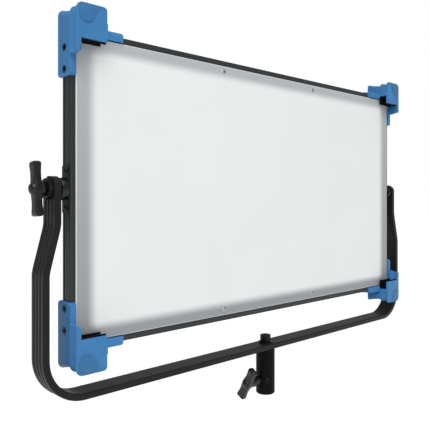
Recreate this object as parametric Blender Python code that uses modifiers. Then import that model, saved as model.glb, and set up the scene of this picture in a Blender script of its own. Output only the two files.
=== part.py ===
"""Slim LED soft light panel in a U yoke, with a stand socket and two T-handle knobs.

Metres, +Z up, light leaving towards -Y. The origin is the centre of the stand
socket's mouth. The panel tilts about an X axis at the height of its own centre.
"""

import bpy
import bmesh
from math import acos, ceil, cos, pi, radians, sin, tan
from mathutils import Matrix, Vector

# Panel frame
PANEL_WIDTH = 0.664
PANEL_HEIGHT = 0.356
FRAME_DEPTH = 0.016
TILT_SETBACK = 0.010        # tilt axis behind the frame's front face
RAIL_WALL = 0.0032
RAIL_LIP = 0.002            # thickness of the front and back lips
FRONT_LIP_WIDTH = 0.011
BACK_LIP_WIDTH = 0.012
GROOVE_DEPTH = 0.0009
GROOVE_WIDTH = 0.0012
GROOVE_PLACES = (0.0015, 0.0064)    # back from the front face
TEE_SLOT_PLACE = 0.0120
TEE_SLOT_WIDTH = 0.0022
TEE_SLOT_DEPTH = 0.0016

# Diffuser and light engine
DIFFUSER_THICKNESS = 0.0026
DIFFUSER_EDGE = 0.0005
DIFFUSER_SIDE_INSET = 0.006
DIFFUSER_TOP_INSET = 0.008
DIFFUSER_SCREW_SPAN = 0.198
DIFFUSER_SCREW_INSET = 0.0075
DIFFUSER_SCREW_RADIUS = 0.0033
TRAY_WALL = 0.001
TRAY_DEPTH = 0.0078
BOARD_COUNT = 2
BOARD_THICKNESS = 0.0015
BOARD_MARGIN = 0.016
LED_ROWS = 4
LED_COLUMNS = 6
LED_SIZE = 0.005
LED_HEIGHT = 0.0008
FIN_HEIGHT = 0.006
FIN_THICKNESS = 0.002
FIN_PITCH = 0.0172

# Corner brackets
BRACKET_WALL = 0.0042
BRACKET_RISE = 0.023
BRACKET_FRONT = 0.022       # lug face ahead of the frame's front face
BRACKET_BACK = 0.0205       # back face behind the frame's front face
BRACKET_LUG_WIDTH = 0.0345  # lug, inwards from the frame's side face
BRACKET_LUG_DROP = 0.0155   # lug, down from the frame's top face
BRACKET_LIP = 0.0036        # thickness of the lug over the accessory slot
BRACKET_SEAT = 0.005        # part that laps over the frame's front face
BRACKET_OVERLAP = 0.0055    # how far it laps over the diffuser's edge
BRACKET_ARM_WIDTH = 0.0012
BRACKET_ARM_DROP = 0.0290
BRACKET_SIDE_DROP = 0.054
BRACKET_TOP_REACH = 0.0685
BRACKET_TOP_WALL = 0.0052
BRACKET_OUTER_RADIUS = 0.011
BRACKET_INNER_RADIUS = 0.006
BRACKET_END_RADIUS = 0.003
BRACKET_EDGE = 0.0006
BRACKET_BOSS_RADIUS = 0.0102
BRACKET_BOSS_HEIGHT = 0.0016
BRACKET_BOSS_INSET = 0.0125
BRACKET_FLUTE = 0.0018
SLOT_END = 0.0005           # slot's closed end, inwards from the frame's side face
SLOT_ROOF = 0.002           # slot's roof, down from the frame's top face
LINER_WALL = 0.0016
LINER_DROP = 0.0017         # how far the liner shows below the lug
BRACKET_SCREW_HEAD = 0.004
BRACKET_SCREW_SHANK = 0.002
BRACKET_SCREW_HEIGHT = 0.0022
BRACKET_SCREW_UPPER = 0.0223
BRACKET_SCREW_LOWER = 0.0463
BRACKET_SCREW_DEPTH = 0.006

# Yoke
YOKE_WIDTH = 0.028
YOKE_THICKNESS = 0.008
YOKE_SIDE_GAP = 0.012       # frame side to arm
YOKE_SWING_GAP = 0.0255     # bracket to cross bar, panel upright
YOKE_JOG = 0.0136
YOKE_JOG_START = 0.040
YOKE_JOG_LENGTH = 0.051
YOKE_CORNER_RADIUS = 0.047
YOKE_JOG_RADIUS = 0.040
YOKE_GROOVE_WIDTH = 0.0024
YOKE_GROOVE_DEPTH = 0.0009
YOKE_GROOVE_SLOPE = 0.00054
YOKE_GROOVE_PITCH = 0.007
YOKE_EDGE = 0.0012

# Tilt pivots
PIVOT_PLATE_HEIGHT = 0.054
PIVOT_PLATE_WIDTH = 0.0145
PIVOT_PLATE_THICKNESS = 0.0012
PIVOT_PLATE_CORNER = 0.003
PIVOT_PLATE_EDGE = 0.0003
PIVOT_SCREW_OFFSET = 0.0205
PIVOT_SCREW_PLACE = 0.006   # back from the frame's front face
PIVOT_SCREW_RADIUS = 0.0030
PIVOT_SCREW_SHANK = 0.0016
PIVOT_SCREW_HEIGHT = 0.0016
BUSH_RADIUS = 0.0125
FRICTION_WASHER = 0.0015
FRICTION_WASHER_INSET = 0.001
PIVOT_STUD_RADIUS = 0.005
PIVOT_STUD_REACH = 0.013    # stud past the arm's outer face
PIVOT_HEAD_RADIUS = 0.0095
PIVOT_HEAD_HEIGHT = 0.0055
PIVOT_WASHER_RADIUS = 0.0115
PIVOT_WASHER_THICKNESS = 0.0016
COLLAR_RADIUS = 0.0115
COLLAR_LENGTH = 0.0045
COLLAR_TEETH = 24
COLLAR_TOOTH = 0.0006

# Stand socket
SOCKET_LENGTH = 0.067
SOCKET_RADIUS = 0.014
SOCKET_BORE_RADIUS = 0.008
SOCKET_BORE_DEPTH = 0.040
SOCKET_CHAMFER = 0.0015
SOCKET_KNOB_HEIGHT = 0.0215
SOCKET_KNOB_SEAT = 0.0035   # receiver's outside to the knob's hub
SOCKET_KNOB_THREAD = 0.0108 # screw's length inside the knob
SOCKET_SCREW_ANGLE = 57.0   # second tapped hole, round from the knob
SET_SCREW_KEY = 0.0019
SET_SCREW_KEY_DEPTH = 0.0023
TAPPED_RADIUS = 0.004
CAP_SCREW_SHANK = 0.005
CAP_SCREW_HEAD = 0.0078
CAP_SCREW_HEIGHT = 0.010
CAP_SCREW_EDGE = 0.0008
CAP_SCREW_KEY = 0.0039
CAP_SCREW_KEY_DEPTH = 0.0055
CAP_SCREW_REACH = 0.018
CAP_WASHER_RADIUS = 0.0105
CAP_WASHER_THICKNESS = 0.0016

# T-handle knobs: bar length, bar thickness, end and waist widths, hub radius, standoff
TILT_KNOB = dict(length=0.060, thick=0.0085, end=0.0140, waist=0.0118, hub=0.0078, tip=0.004,
                 standoff=0.0050, turn=-6.0)
SOCKET_KNOB = dict(length=0.053, thick=0.0080, end=0.0120, waist=0.0090, hub=0.0080, tip=0.0035,
                   standoff=0.0180, turn=30.0)

KNOB_EDGE = 0.16            # fractions of the bar's thickness, half length and widths
KNOB_EDGE_ANGLE = 50.0
KNOB_WAIST_PLACE = 0.45
KNOB_END_FILLET = 0.7
KNOB_WAIST_FILLET = 0.5
KNOB_HUB_FILLET = 0.8
KNOB_SKIRT = 0.3            # of the standoff, before the hub narrows
KNOB_FOOT = 0.9             # of the hub's radius, at its foot
KNOB_DOME = ((0.0, 0.0), (0.45, 0.12), (0.78, 0.45), (0.92, 1.0))

# Screw heads: fractions of the head's radius and height
BUTTON_HEAD = ((0.0, 0.35), (0.5, 0.35), (0.5, 1.0), (0.86, 1.0), (1.0, 0.75), (1.0, 0.0))
PAN_HEAD = ((0.0, 0.4), (0.45, 0.4), (0.45, 1.1), (0.8, 1.1), (1.0, 0.8), (1.0, 0.0), (0.0, 0.0))
DOME_HEAD = ((0.0, 0.5), (0.33, 0.5), (0.33, 1.0), (0.55, 0.92), (0.85, 0.6), (1.0, 0.2), (1.0, 0.0))
BOSS_DOME = ((0.0, 1.0), (0.5, 0.85), (0.8, 0.5), (1.0, 0.0))

# Rear housing and its controls
HOUSING_WIDTH = 0.240
HOUSING_HEIGHT = 0.150
HOUSING_DEPTH = 0.034
HOUSING_WALL = 0.002
HOUSING_CORNER = 0.006
HOUSING_EDGE = 0.002
DISPLAY_WIDTH = 0.062
DISPLAY_HEIGHT = 0.030
DISPLAY_THICKNESS = 0.0016
DISPLAY_RISE = 0.034
DIAL_RADIUS = 0.0095
DIAL_HEIGHT = 0.014
DIAL_SPREAD = 0.058
DIAL_SHAFT_RADIUS = 0.003
DIAL_SHAFT_LENGTH = 0.007
DIAL_FLUTES = 18
DIAL_FLUTE_DEPTH = 0.0005
DIAL_MARK_WIDTH = 0.0012
DIAL_MARK_DEPTH = 0.0006
DIAL_MARK_START = 0.0033
SWITCH_WIDTH = 0.013
SWITCH_HEIGHT = 0.021
SWITCH_SWING = 9.0
SWITCH_CLEAR = 0.0006
SWITCH_TIP = 0.0022         # rocker's ends, proud of its axis
SWITCH_DISH = 0.0012        # its middle
SWITCH_EDGE = 0.0004
SWITCH_SHOULDER = 0.001
SWITCH_FOOT_DEPTH = 0.006
SWITCH_FOOT_HALF = 0.0047
SOCKET_ROW_DROP = 0.040
SOCKET_SPREAD = 0.078
POWER_INLET_RADIUS = 0.0125
DATA_SOCKET_RADIUS = 0.0105
CONNECTOR_PROUD = 0.003
CONNECTOR_DEPTH = 0.018
CONNECTOR_BORE = 0.78       # of its radius
CONNECTOR_BORE_DEPTH = 0.0126
SUPPLY_WIDTH = 0.150
SUPPLY_HEIGHT = 0.046
SUPPLY_DEPTH = 0.020
SUPPLY_DROP = 0.0184        # its lower edge, below the tilt axis
CONTROL_BOARD_WIDTH = 0.180
CONTROL_BOARD_HEIGHT = 0.050
CONTROL_BOARD_SETBACK = 0.0075

CLEAR = 0.0003              # gap between neighbouring pieces
RUNNING_CLEAR = 0.0004      # gap round a turning shaft
PAST = 0.004                # how far a cutter runs past the piece it cuts
FAR = 0.2                   # beyond any piece near a corner
WELD = 0.000005             # points nearer than this are one
FINE_STEPS = 32
ROUND_STEPS = 24
BOSS_STEPS = 18
RECESS_STEPS = 16
SMALL_STEPS = 12
LARGE_FILLET = 0.02
LARGE_ARC_STEP = 11.0
ARC_STEP = 20.0
SOFTEN_ANGLE = 40.0
SMOOTH_ANGLE = 30.0

HALF_WIDTH = PANEL_WIDTH / 2
HALF_HEIGHT = PANEL_HEIGHT / 2
YOKE_DROP = HALF_HEIGHT + BRACKET_RISE + YOKE_SWING_GAP
PIVOT_HEIGHT = SOCKET_LENGTH + YOKE_THICKNESS + YOKE_DROP
ARM_INNER = HALF_WIDTH + YOKE_SIDE_GAP
ARM_OUTER = ARM_INNER + YOKE_THICKNESS
FRONT = -TILT_SETBACK       # the frame's front face, from the tilt axis
BACK = FRONT + FRAME_DEPTH
FIN_TOP = BACK - RAIL_LIP - CLEAR + FIN_HEIGHT
HOUSING_BACK = FIN_TOP + CLEAR + HOUSING_DEPTH

CORNERS = {
    "top_left": (-1, 1),
    "top_right": (1, 1),
    "bottom_left": (-1, -1),
    "bottom_right": (1, -1),
}
PLANES = {
    "XY": Matrix.Identity(4),
    "XZ": Matrix(((1, 0, 0, 0), (0, 0, 1, 0), (0, 1, 0, 0), (0, 0, 0, 1))),
    "YZ": Matrix(((0, 0, 1, 0), (1, 0, 0, 0), (0, 1, 0, 0), (0, 0, 0, 1))),
}
AXES = {
    "X": Matrix.Rotation(pi / 2, 4, "Y"),
    "Y": Matrix.Rotation(-pi / 2, 4, "X"),
    "Z": Matrix.Identity(4),
}


# Scene and materials

def clear_scene():
    for piece in list(bpy.data.objects):
        bpy.data.objects.remove(piece, do_unlink=True)


def collection(name):
    made = bpy.data.collections.new(name)
    bpy.context.scene.collection.children.link(made)
    return made


def finish(name, colour, roughness, metallic=0.0):
    made = bpy.data.materials.new(name)
    made.use_nodes = True
    shader = made.node_tree.nodes["Principled BSDF"]
    shader.inputs["Base Color"].default_value = (*colour, 1.0)
    shader.inputs["Roughness"].default_value = roughness
    shader.inputs["Metallic"].default_value = metallic
    made.diffuse_color = (*colour, 1.0)
    return made


clear_scene()
PARTS = collection("soft_light_panel")
CUTTERS = collection("cutters")
BLACK_PAINT = finish("black_paint", (0.028, 0.030, 0.031), 0.42)
BLACK_ANODISED = finish("black_anodised", (0.035, 0.039, 0.040), 0.40, 0.6)
GREY_ANODISED = finish("grey_anodised", (0.085, 0.092, 0.092), 0.45, 0.6)
BLUE_PLASTIC = finish("blue_plastic", (0.066, 0.206, 0.440), 0.42)
BLACK_PLASTIC = finish("black_plastic", (0.020, 0.021, 0.022), 0.5)
BLACK_RUBBER = finish("black_rubber", (0.010, 0.010, 0.011), 0.75)
OPAL = finish("opal_acrylic", (0.80, 0.82, 0.82), 0.35)
WHITE_PAINT = finish("white_paint", (0.85, 0.85, 0.84), 0.6)
BARE_ALUMINIUM = finish("bare_aluminium", (0.60, 0.61, 0.62), 0.38, 1.0)
STEEL = finish("steel", (0.42, 0.42, 0.42), 0.3, 1.0)
BLACK_STEEL = finish("black_steel", (0.030, 0.030, 0.032), 0.35, 0.6)
BOARD_GREEN = finish("circuit_board", (0.030, 0.090, 0.050), 0.5)
GLASS = finish("display_glass", (0.012, 0.015, 0.018), 0.12)


# Modelling helpers

def place(mesh, name, parent, material):
    piece = bpy.data.objects.new(name, mesh)
    PARTS.objects.link(piece)
    piece.parent = parent
    if material:
        mesh.materials.clear()
        mesh.materials.append(material)
    return piece


def as_tool(piece):
    for home in list(piece.users_collection):
        home.objects.unlink(piece)
    CUTTERS.objects.link(piece)
    piece.hide_render = True
    piece.display_type = "WIRE"
    return piece


def boolean(piece, tool, operation="DIFFERENCE"):
    step = piece.modifiers.new(operation.lower(), "BOOLEAN")
    step.operation = operation
    step.object = as_tool(tool)


def soften(piece, width, segments=1, angle=SOFTEN_ANGLE):
    step = piece.modifiers.new("edges", "BEVEL")
    step.width = width
    step.segments = segments
    step.limit_method = "ANGLE"
    step.angle_limit = radians(angle)
    step.harden_normals = False


def box(name, low, high, parent=None, material=None):
    low, high = Vector(low), Vector(high)
    shape = bmesh.new()
    size = Matrix.Diagonal((*(high - low), 1.0))
    bmesh.ops.create_cube(shape, size=1.0, matrix=Matrix.Translation((low + high) / 2) @ size)
    mesh = bpy.data.meshes.new(name)
    shape.to_mesh(mesh)
    shape.free()
    return place(mesh, name, parent, material)


def rod(name, radius, start, end, axis="X", parent=None, material=None, steps=FINE_STEPS,
        centre=(0, 0, 0)):
    """A cylinder along one axis through centre, from start to end on that axis."""
    shape = bmesh.new()
    slide = Matrix.Translation((0, 0, (start + end) / 2))
    bmesh.ops.create_cone(shape, cap_ends=True, segments=steps, radius1=radius, radius2=radius,
                          depth=abs(end - start), matrix=Matrix.Translation(centre) @ AXES[axis] @ slide)
    mesh = bpy.data.meshes.new(name)
    shape.to_mesh(mesh)
    shape.free()
    return place(mesh, name, parent, material)


def turned(name, profile, axis, parent, material, steps=FINE_STEPS, centre=(0, 0, 0)):
    """Radius and height pairs, running down the outer side, turned about an axis."""
    shape = bmesh.new()
    points = [shape.verts.new((radius, 0.0, height)) for radius, height in profile]
    for first, second in zip(points, points[1:]):
        shape.edges.new((first, second))
    if profile[0][0] > 0.0:
        shape.edges.new((points[-1], points[0]))
    mesh = bpy.data.meshes.new(name)
    shape.to_mesh(mesh)
    shape.free()
    piece = place(mesh, name, parent, material)
    piece.matrix_local = Matrix.Translation(centre) @ AXES[axis]
    turn = piece.modifiers.new("turn", "SCREW")
    turn.steps = turn.render_steps = steps
    turn.use_merge_vertices = True
    turn.merge_threshold = WELD
    return piece


def arc_points(corner, before, after, radius):
    """The fillet of one corner of an outline, as points."""
    corner, before, after = Vector(corner), Vector(before), Vector(after)
    to_before = (before - corner).normalized()
    to_after = (after - corner).normalized()
    half = acos(max(-1.0, min(1.0, to_before.dot(to_after)))) / 2
    reach = radius / tan(half)
    centre = corner + (to_before + to_after).normalized() * (radius / sin(half))
    start = corner + to_before * reach - centre
    sweep = pi - 2 * half
    side = 1 if start.y * to_before.x - start.x * to_before.y > 0 else -1
    step = LARGE_ARC_STEP if radius > LARGE_FILLET else ARC_STEP
    steps = max(2, ceil(sweep / radians(step)))
    found = []
    for index in range(steps + 1):
        angle = side * sweep * index / steps
        found.append((centre.x + start.x * cos(angle) - start.y * sin(angle),
                      centre.y + start.x * sin(angle) + start.y * cos(angle)))
    return found


def rounded(corners, closed=True):
    """Points of an outline from corners given as (x, y) or (x, y, fillet radius)."""
    points = []
    count = len(corners)
    for index, corner in enumerate(corners):
        ends = not closed and index in (0, count - 1)
        if len(corner) == 2 or ends:
            points.append(tuple(corner[:2]))
            continue
        before = corners[index - 1][:2]
        after = corners[(index + 1) % count][:2]
        points.extend(arc_points(corner[:2], before, after, corner[2]))
    return points


def spline(curve, points, closed):
    line = curve.splines.new("POLY")
    line.points.add(len(points) - 1)
    for point, place_at in zip(line.points, points):
        point.co = (place_at[0], place_at[1], 0.0, 1.0)
    line.use_cyclic_u = closed


def mesh_of(curve_object, name, parent, material, matrix):
    """The closed mesh of a curve object, in the plane that matrix gives."""
    bpy.context.view_layer.update()
    evaluated = curve_object.evaluated_get(bpy.context.evaluated_depsgraph_get())
    mesh = bpy.data.meshes.new_from_object(evaluated)
    mesh.name = name
    mesh.transform(matrix)
    shape = bmesh.new()
    shape.from_mesh(mesh)
    bmesh.ops.remove_doubles(shape, verts=shape.verts, dist=WELD)
    bmesh.ops.recalc_face_normals(shape, faces=shape.faces)
    shape.to_mesh(mesh)
    shape.free()
    bpy.data.objects.remove(curve_object, do_unlink=True)
    return place(mesh, name, parent, material)


def extruded(name, corners, plane, start, end, parent=None, material=None):
    """A flat outline in a plane, given thickness from start to end across it."""
    curve = bpy.data.curves.new(name, "CURVE")
    curve.dimensions = "2D"
    curve.fill_mode = "BOTH"
    curve.extrude = abs(end - start) / 2
    spline(curve, rounded(corners), True)
    holder = bpy.data.objects.new(name + "_outline", curve)
    PARTS.objects.link(holder)
    shift = Matrix.Translation((0, 0, (start + end) / 2))
    return mesh_of(holder, name, parent, material, PLANES[plane] @ shift)


def swept(name, path, profile, plane, parent, material):
    """A closed profile carried along an open path that lies in one plane."""
    section = bpy.data.curves.new(name + "_section", "CURVE")
    section.dimensions = "2D"
    spline(section, profile, True)
    section_holder = bpy.data.objects.new(name + "_section", section)
    PARTS.objects.link(section_holder)
    curve = bpy.data.curves.new(name, "CURVE")
    curve.dimensions = "3D"
    curve.twist_mode = "Z_UP"
    curve.bevel_mode = "OBJECT"
    curve.bevel_object = section_holder
    curve.use_fill_caps = True
    spline(curve, path, False)
    holder = bpy.data.objects.new(name + "_path", curve)
    PARTS.objects.link(holder)
    piece = mesh_of(holder, name, parent, material, PLANES[plane])
    bpy.data.objects.remove(section_holder, do_unlink=True)
    return piece


def axis_empty(name, location):
    marker = bpy.data.objects.new(name, None)
    marker.location = location
    PARTS.objects.link(marker)
    return marker


def scaled(profile, radius, height):
    return [(across * radius, up * height) for across, up in profile]


def shade(pieces):
    for piece in pieces:
        if piece.type == "MESH" and not piece.hide_render:
            piece.data.shade_smooth()
            piece.data.set_sharp_from_angle(angle=radians(SMOOTH_ANGLE))


# Yoke and stand socket

def yoke_section():
    """Flat bar with three grooves along its outer face; x is across the bar, y is outwards."""
    half_width, half_thick = YOKE_WIDTH / 2, YOKE_THICKNESS / 2
    corners = [(half_width, -half_thick, YOKE_EDGE), (half_width, half_thick, YOKE_EDGE)]
    for across in (YOKE_GROOVE_PITCH, 0.0, -YOKE_GROOVE_PITCH):
        near, far = across + YOKE_GROOVE_WIDTH / 2, across - YOKE_GROOVE_WIDTH / 2
        floor = half_thick - YOKE_GROOVE_DEPTH
        corners += [(near, half_thick), (near - YOKE_GROOVE_SLOPE, floor),
                    (far + YOKE_GROOVE_SLOPE, floor), (far, half_thick)]
    corners += [(-half_width, half_thick, YOKE_EDGE), (-half_width, -half_thick, YOKE_EDGE)]
    return corners


def simple_round(corners):
    """Like rounded, with one chamfer in place of each fillet."""
    points = []
    for index, corner in enumerate(corners):
        if len(corner) == 2:
            points.append(corner)
            continue
        here = Vector(corner[:2])
        for other in (corners[index - 1], corners[(index + 1) % len(corners)]):
            step = (Vector(other[:2]) - here).normalized() * corner[2]
            points.append(tuple(here + step))
    return points


def make_yoke():
    arm, low_arm = (ARM_INNER + ARM_OUTER) / 2, (ARM_INNER + ARM_OUTER) / 2 + YOKE_JOG
    top = PIVOT_HEIGHT + YOKE_WIDTH / 2 + PAST
    bar = SOCKET_LENGTH + YOKE_THICKNESS / 2
    jog_start = PIVOT_HEIGHT - YOKE_JOG_START
    jog_end = jog_start - YOKE_JOG_LENGTH
    left = [(-arm, top), (-arm, jog_start, YOKE_JOG_RADIUS), (-low_arm, jog_end, YOKE_JOG_RADIUS),
            (-low_arm, bar, YOKE_CORNER_RADIUS)]
    right = [(-corner[0], *corner[1:]) for corner in reversed(left)]
    path = rounded(left + right, closed=False)
    section = [(outwards, across) for across, outwards in simple_round(yoke_section())]
    yoke = swept("yoke_bar", path, section, "XZ", None, BLACK_ANODISED)
    half = YOKE_WIDTH / 2
    side_view = [(half, PIVOT_HEIGHT + half, half - CLEAR), (-half, PIVOT_HEIGHT + half, half - CLEAR),
                 (-half - PAST, 0.0), (half + PAST, 0.0)]
    reach = low_arm + YOKE_THICKNESS + PAST
    boolean(yoke, extruded("yoke_side_view", side_view, "YZ", -reach, reach), "INTERSECT")
    hole = PIVOT_STUD_RADIUS + RUNNING_CLEAR
    for side in (-1, 1):
        boolean(yoke, rod("pivot_hole", hole, side * (ARM_INNER - PAST), side * (ARM_OUTER + PAST),
                          "X", centre=(0, 0, PIVOT_HEIGHT)))
    boolean(yoke, rod("bolt_hole", CAP_SCREW_SHANK + CLEAR, SOCKET_LENGTH - PAST,
                      SOCKET_LENGTH + YOKE_THICKNESS + PAST, "Z"))


def make_socket():
    """Receiver with its stud bore, and the cap screw that holds it under the bar."""
    profile = [(0.0, SOCKET_LENGTH - CLEAR), (SOCKET_RADIUS, SOCKET_LENGTH - CLEAR),
               (SOCKET_RADIUS, SOCKET_CHAMFER), (SOCKET_RADIUS - SOCKET_CHAMFER, 0.0),
               (SOCKET_BORE_RADIUS, 0.0), (SOCKET_BORE_RADIUS, SOCKET_BORE_DEPTH), (0.0, SOCKET_BORE_DEPTH)]
    socket = turned("socket_receiver", profile, "Z", None, BLACK_PAINT)
    screw_end = SOCKET_LENGTH - CAP_SCREW_REACH
    boolean(socket, rod("cap_screw_hole", CAP_SCREW_SHANK + CLEAR, screw_end - CLEAR,
                        SOCKET_LENGTH + PAST, "Z", steps=ROUND_STEPS))
    middle = (SOCKET_BORE_RADIUS + SOCKET_RADIUS) / 2
    reach = (SOCKET_RADIUS - SOCKET_BORE_RADIUS) / 2 + PAST
    for angle in (0.0, SOCKET_SCREW_ANGLE):
        hole = rod("side_hole", TAPPED_RADIUS + CLEAR, -middle - reach, -middle + reach, "X",
                   steps=ROUND_STEPS)
        hole.location = (0, 0, SOCKET_KNOB_HEIGHT)
        hole.rotation_euler = (0, 0, radians(angle))
        boolean(socket, hole)

    deck = SOCKET_LENGTH + YOKE_THICKNESS + CLEAR
    washer = rod("socket_bolt_washer", CAP_WASHER_RADIUS, deck, deck + CAP_WASHER_THICKNESS, "Z",
                 None, STEEL)
    boolean(washer, rod("washer_hole", CAP_SCREW_SHANK + CLEAR, deck - PAST, deck + PAST, "Z"))
    seat = deck + CAP_WASHER_THICKNESS + CLEAR
    top = seat + CAP_SCREW_HEIGHT
    profile = [(0.0, top - CAP_SCREW_KEY_DEPTH), (CAP_SCREW_KEY, top - CAP_SCREW_KEY_DEPTH),
               (CAP_SCREW_KEY, top), (CAP_SCREW_HEAD - CAP_SCREW_EDGE, top),
               (CAP_SCREW_HEAD, top - CAP_SCREW_EDGE), (CAP_SCREW_HEAD, seat), (CAP_SCREW_SHANK, seat),
               (CAP_SCREW_SHANK, screw_end), (0.0, screw_end)]
    turned("socket_bolt", profile, "Z", None, BLACK_STEEL, ROUND_STEPS)

    length = SOCKET_RADIUS - SOCKET_BORE_RADIUS - CLEAR
    profile = [(0.0, -SET_SCREW_KEY_DEPTH), (SET_SCREW_KEY, -SET_SCREW_KEY_DEPTH), (SET_SCREW_KEY, 0.0),
               (TAPPED_RADIUS, 0.0), (TAPPED_RADIUS, -length), (0.0, -length)]
    screw = turned("socket_set_screw", profile, "Z", None, STEEL, SMALL_STEPS)
    outward = Matrix.Rotation(radians(SOCKET_SCREW_ANGLE), 4, "Z") @ Matrix.Rotation(-pi / 2, 4, "Y")
    screw.matrix_local = (Matrix.Translation((0, 0, SOCKET_KNOB_HEIGHT)) @ outward
                          @ Matrix.Translation((0, 0, SOCKET_RADIUS)))


def t_knob(name, spec, location, start, bore_radius, bore_depth):
    """A T-handle knob whose hub starts at x = -start and points to -X."""
    bar_near = -start - spec["standoff"]
    bar_far = bar_near - spec["thick"]
    tip = bar_far - spec["tip"]
    hub = spec["hub"]
    half, end, waist = spec["length"] / 2, spec["end"] / 2, spec["waist"] / 2
    corner, neck, belly = end * KNOB_END_FILLET, half * KNOB_WAIST_FILLET, hub * KNOB_HUB_FILLET
    place_of_waist = half * KNOB_WAIST_PLACE
    outline = [(-end, -half, corner), (end, -half, corner), (waist, -place_of_waist, neck),
               (hub, 0.0, belly), (waist, place_of_waist, neck), (end, half, corner),
               (-end, half, corner), (-waist, place_of_waist, neck), (-hub, 0.0, belly),
               (-waist, -place_of_waist, neck)]
    knob = extruded(name, outline, "YZ", bar_far, bar_near, None, BLACK_PLASTIC)
    knob.location = location
    soften(knob, spec["thick"] * KNOB_EDGE, 1, KNOB_EDGE_ANGLE)
    dome = [(across * hub, -tip - up * spec["tip"]) for across, up in KNOB_DOME]
    profile = dome + [(hub, -bar_far - spec["thick"] / 2), (hub, start + spec["standoff"] * KNOB_SKIRT),
                      (hub * KNOB_FOOT, start), (bore_radius, start), (bore_radius, start + bore_depth),
                      (0.0, start + bore_depth)]
    hub_piece = turned(name + "_hub", profile, "X", None, None, ROUND_STEPS)
    hub_piece.matrix_local = Matrix.Translation(location) @ Matrix.Rotation(-pi / 2, 4, "Y")
    bore = rod(name + "_bore", bore_radius, PAST - start, -start - bore_depth, "X", steps=ROUND_STEPS)
    bore.location = location
    boolean(knob, hub_piece, "UNION")
    boolean(knob, bore)
    knob.rotation_euler = (radians(spec["turn"]), 0, 0)


def make_knobs():
    stud_end = ARM_OUTER + PIVOT_STUD_REACH
    start = ARM_OUTER + COLLAR_LENGTH + 2 * CLEAR
    t_knob("tilt_knob", TILT_KNOB, (0, 0, PIVOT_HEIGHT), start, PIVOT_STUD_RADIUS + RUNNING_CLEAR,
           stud_end - start + CLEAR)
    seat = SOCKET_RADIUS + SOCKET_KNOB_SEAT
    t_knob("socket_knob", SOCKET_KNOB, (0, 0, SOCKET_KNOB_HEIGHT), seat, TAPPED_RADIUS + CLEAR,
           SOCKET_KNOB_THREAD)
    rod("socket_clamp_screw", TAPPED_RADIUS, -SOCKET_BORE_RADIUS - CLEAR,
        -seat - SOCKET_KNOB_THREAD + CLEAR, "X", None, STEEL, ROUND_STEPS,
        centre=(0, 0, SOCKET_KNOB_HEIGHT))


def make_tilt_pivots(panel):
    """Plates on the side rails, bushes, friction washers, the left stud and the right bolt."""
    plate_in = HALF_WIDTH + CLEAR
    plate_out = plate_in + PIVOT_PLATE_THICKNESS
    washer_out = ARM_INNER - CLEAR
    washer_in = washer_out - FRICTION_WASHER
    bush_out, bush_in = washer_in - CLEAR, plate_out + CLEAR
    centre = FRONT + FRAME_DEPTH / 2
    half_w, half_h = PIVOT_PLATE_WIDTH / 2, PIVOT_PLATE_HEIGHT / 2
    for side, word in ((-1, "left"), (1, "right")):
        outline = [(centre + y * half_w, z * half_h, PIVOT_PLATE_CORNER)
                   for y, z in ((-1, -1), (1, -1), (1, 1), (-1, 1))]
        plate = extruded("pivot_plate_" + word, outline, "YZ", side * plate_in, side * plate_out, panel,
                         BLACK_ANODISED)
        soften(plate, PIVOT_PLATE_EDGE)
        bush = rod("pivot_bush_" + word, BUSH_RADIUS, side * bush_in, side * bush_out, "X", panel,
                   BLACK_PLASTIC)
        washer = rod("friction_washer_" + word, BUSH_RADIUS - FRICTION_WASHER_INSET, side * washer_in,
                     side * washer_out, "X", panel, BLACK_RUBBER)
        for piece in (plate, bush, washer):
            hole = rod("stud_hole", PIVOT_STUD_RADIUS + CLEAR, side * (HALF_WIDTH - PAST),
                       side * (ARM_OUTER + PAST), "X", panel, steps=ROUND_STEPS)
            boolean(piece, hole)
        for end, level in (("upper", 1), ("lower", -1)):
            at = (0, FRONT + PIVOT_SCREW_PLACE, level * PIVOT_SCREW_OFFSET)
            boolean(plate, rod("screw_hole", PIVOT_SCREW_SHANK + CLEAR, side * (plate_in - PAST),
                               side * (plate_out + PAST), "X", panel, steps=SMALL_STEPS, centre=at))
            side_screw(f"pivot_screw_{word}_{end}", side, plate_out + CLEAR, at, PIVOT_SCREW_RADIUS,
                       PIVOT_SCREW_HEIGHT, PIVOT_SCREW_SHANK, plate_out - HALF_WIDTH + RAIL_WALL, panel)

    inner = HALF_WIDTH - RAIL_WALL + CLEAR
    rod("tilt_stud", PIVOT_STUD_RADIUS, -inner, -ARM_OUTER - PIVOT_STUD_REACH, "X", panel, STEEL,
        ROUND_STEPS)
    seat = ARM_OUTER + CLEAR
    washer = rod("pivot_washer", PIVOT_WASHER_RADIUS, seat, seat + PIVOT_WASHER_THICKNESS, "X", panel, STEEL)
    boolean(washer, rod("washer_hole", PIVOT_STUD_RADIUS + CLEAR, ARM_INNER, ARM_OUTER + 2 * PAST, "X",
                        panel))
    base = seat + PIVOT_WASHER_THICKNESS + CLEAR
    head = [(across, base + up) for across, up in scaled(DOME_HEAD, PIVOT_HEAD_RADIUS, PIVOT_HEAD_HEIGHT)]
    profile = head + [(PIVOT_STUD_RADIUS, base), (PIVOT_STUD_RADIUS, inner), (0.0, inner)]
    turned("pivot_bolt", profile, "X", panel, BLACK_STEEL, ROUND_STEPS)


def side_screw(name, side, seat, at, head, height, shank, reach, panel):
    """A socket screw whose head stands out to one side of the panel."""
    profile = scaled(BUTTON_HEAD, head, height) + [(shank, 0.0), (shank, -reach), (0.0, -reach)]
    screw = turned(name, profile, "Z", panel, BLACK_STEEL, SMALL_STEPS)
    screw.matrix_local = (Matrix.Translation((side * seat, at[1], at[2]))
                          @ Matrix.Rotation(side * pi / 2, 4, "Y"))


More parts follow.
